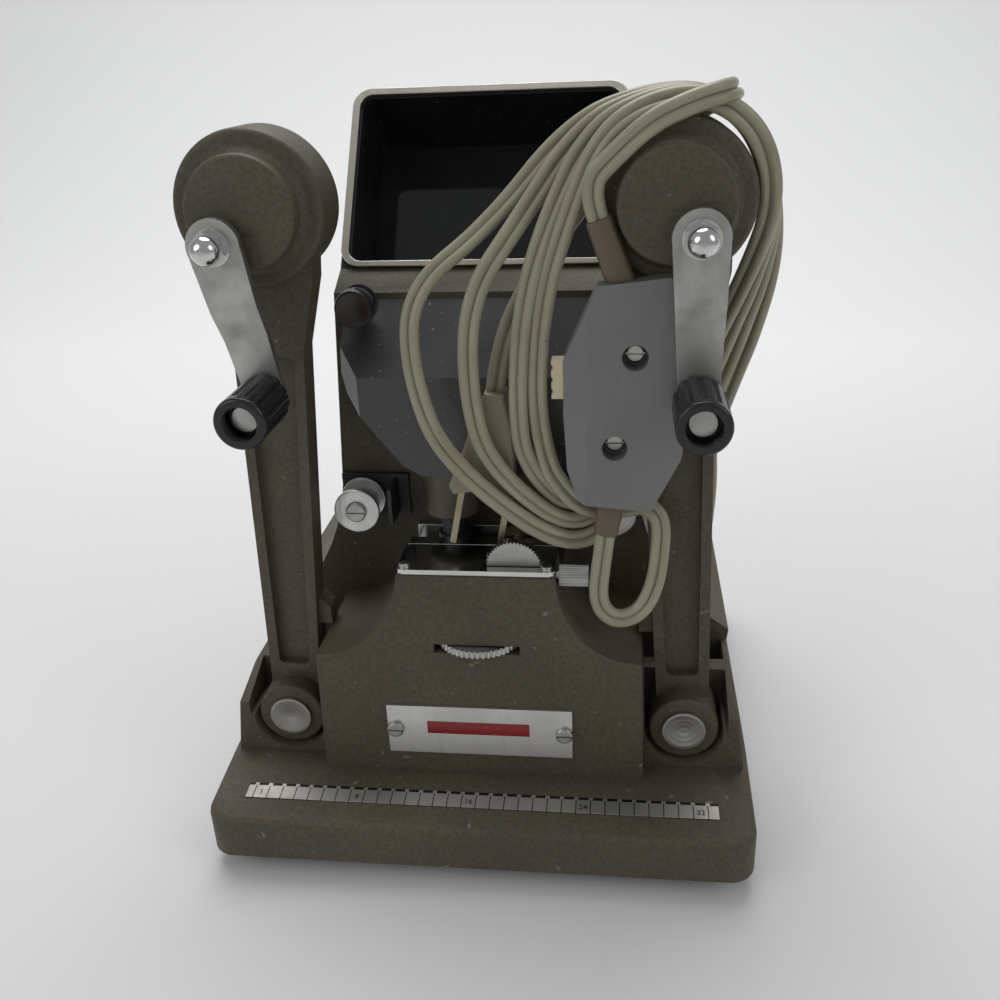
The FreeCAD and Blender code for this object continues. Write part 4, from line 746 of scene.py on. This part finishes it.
dressing = [
    (rubber, ["rubber_feet", "cord_grommet"]),
    (blackPaint, ["bottom_plate", "lens_mount"]),
    (barrelPaint, ["lens_barrel"]),
    (steel, ["case_screws", "slotted_screws", "switch_screws", "sprocket_shaft", "prism_shaft",
             "inching_wheel", "left_handle_rivet", "right_handle_rivet", "left_spindle", "right_spindle"]),
    (ceramic, ["lamp_socket"]),
    (glass, ["lamp_bulb", "lens_elements", "prism"]),
    (mirrorSilver, ["front_mirror", "rear_mirror"]),
    (darkGlass(), ["screen_glass"]),
    (discMetal, ["left_pivot_pin", "right_pivot_pin"]),
    (darkSteel, ["sprocket"]),
    (aluminium, ["framing_wheel", "side_knob"]),
    (chrome, ["left_crank_nut", "right_crank_nut"]),
    (brass, ["left_crank_gear", "right_crank_gear", "plug_blades"])]


def dressNodes():
    for finish, names in dressing:
        for name in names:
            for slot in nodes[name].material_slots:
                slot.material = finish


makeCastings()
print("castings")
makeNumbers()
makeRedBar()
makeFocusKnob()
dressNodes()
print("details")


# Floor, backdrop and soft studio light: the floor's sizes are in metres
# The floor's paper turns lighter towards the backdrop as painted light, over a span of Y in metres
studio = dict(
    paper=(0.70, 0.697, 0.688, 1), paperWithPaintedLight=(0.83, 0.83, 0.825, 1), paintedLightSpan=(-0.1, 0.5), mottle=0.1,
    half=1.6, front=-1.4, bend=0.45, radius=0.35, bendSteps=24, wall=1.3,
    world=(0.80, 0.82, 0.84, 1), worldStrength=0.42)
# Each lamp's place in mm, its size in metres and its power in watts. They all face the aim, in mm
lamps = dict(overhead=((-100, 380, 1150), 0.9, 8.5), frontLeft=((-800, -800, 620), 0.8, 2.6),
             rightSide=((850, -450, 620), 0.6, 1.4))
lampAim = (0, 0, 80)


def studioPaper():
    material, shader, surface = newMaterial("studioPaper", Roughness=0.85, Specular_IOR_Level=0.2)
    depth = shader.add("ShaderNodeSeparateXYZ", Vector=shader.place()).outputs["Y"]
    mottle = shader.math("MULTIPLY", shader.noise(3.0, 2.0, 0.5), studio["mottle"])
    # Painted light: the paper is lighter further back
    paintedLightShare = shader.spread(shader.math("ADD", depth, mottle), *studio["paintedLightSpan"])
    shader.feed(surface["Base Color"], shader.mix(paintedLightShare, studio["paper"], studio["paperWithPaintedLight"]))
    return material


def makeStage():
    bm = bmesh.new()
    edge = [bm.verts.new((side * studio["half"], studio["front"], 0)) for side in (-1, 1)]
    line = bm.edges.new(edge)
    flat = bmesh.ops.extrude_edge_only(bm, edges=[line])["geom"]
    moved = only(bmesh.types.BMVert, flat)
    bmesh.ops.translate(bm, vec=(0, studio["bend"] - studio["front"], 0), verts=moved)
    last = [side for side in only(bmesh.types.BMEdge, flat) if all(vert in moved for vert in side.verts)]
    bent = bmesh.ops.spin(bm, geom=last, cent=(0, studio["bend"], studio["radius"]), axis=(1, 0, 0),
                          angle=math.pi / 2, steps=studio["bendSteps"])["geom_last"]
    rise = bmesh.ops.extrude_edge_only(bm, edges=only(bmesh.types.BMEdge, bent))["geom"]
    bmesh.ops.translate(bm, vec=(0, 0, studio["wall"]), verts=only(bmesh.types.BMVert, rise))
    bmesh.ops.recalc_face_normals(bm, faces=bm.faces)
    mesh = bpy.data.meshes.new("floor")
    bm.to_mesh(mesh)
    bm.free()
    for face in mesh.polygons:
        face.use_smooth = True
    floor = bpy.data.objects.new("floor", mesh)
    mesh.materials.append(studioPaper())
    scene.collection.objects.link(floor)


def makeLights():
    for name, (place, size, power) in lamps.items():
        data = bpy.data.lights.new(name, "AREA")
        data.shape = "DISK"
        data.size = size
        data.energy = power
        lamp = bpy.data.objects.new(name, data)
        position = Vector(place) * mm
        facing = (position - Vector(lampAim) * mm).to_track_quat("Z", "Y").to_matrix().to_4x4()
        lamp.matrix_world = Matrix.Translation(position) @ facing
        scene.collection.objects.link(lamp)
    world = bpy.data.worlds.new("studio")
    world.use_nodes = True
    background = world.node_tree.nodes["Background"]
    background.inputs["Color"].default_value = studio["world"]
    background.inputs["Strength"].default_value = studio["worldStrength"]
    scene.world = world


makeStage()
makeLights()
print("stage and light")
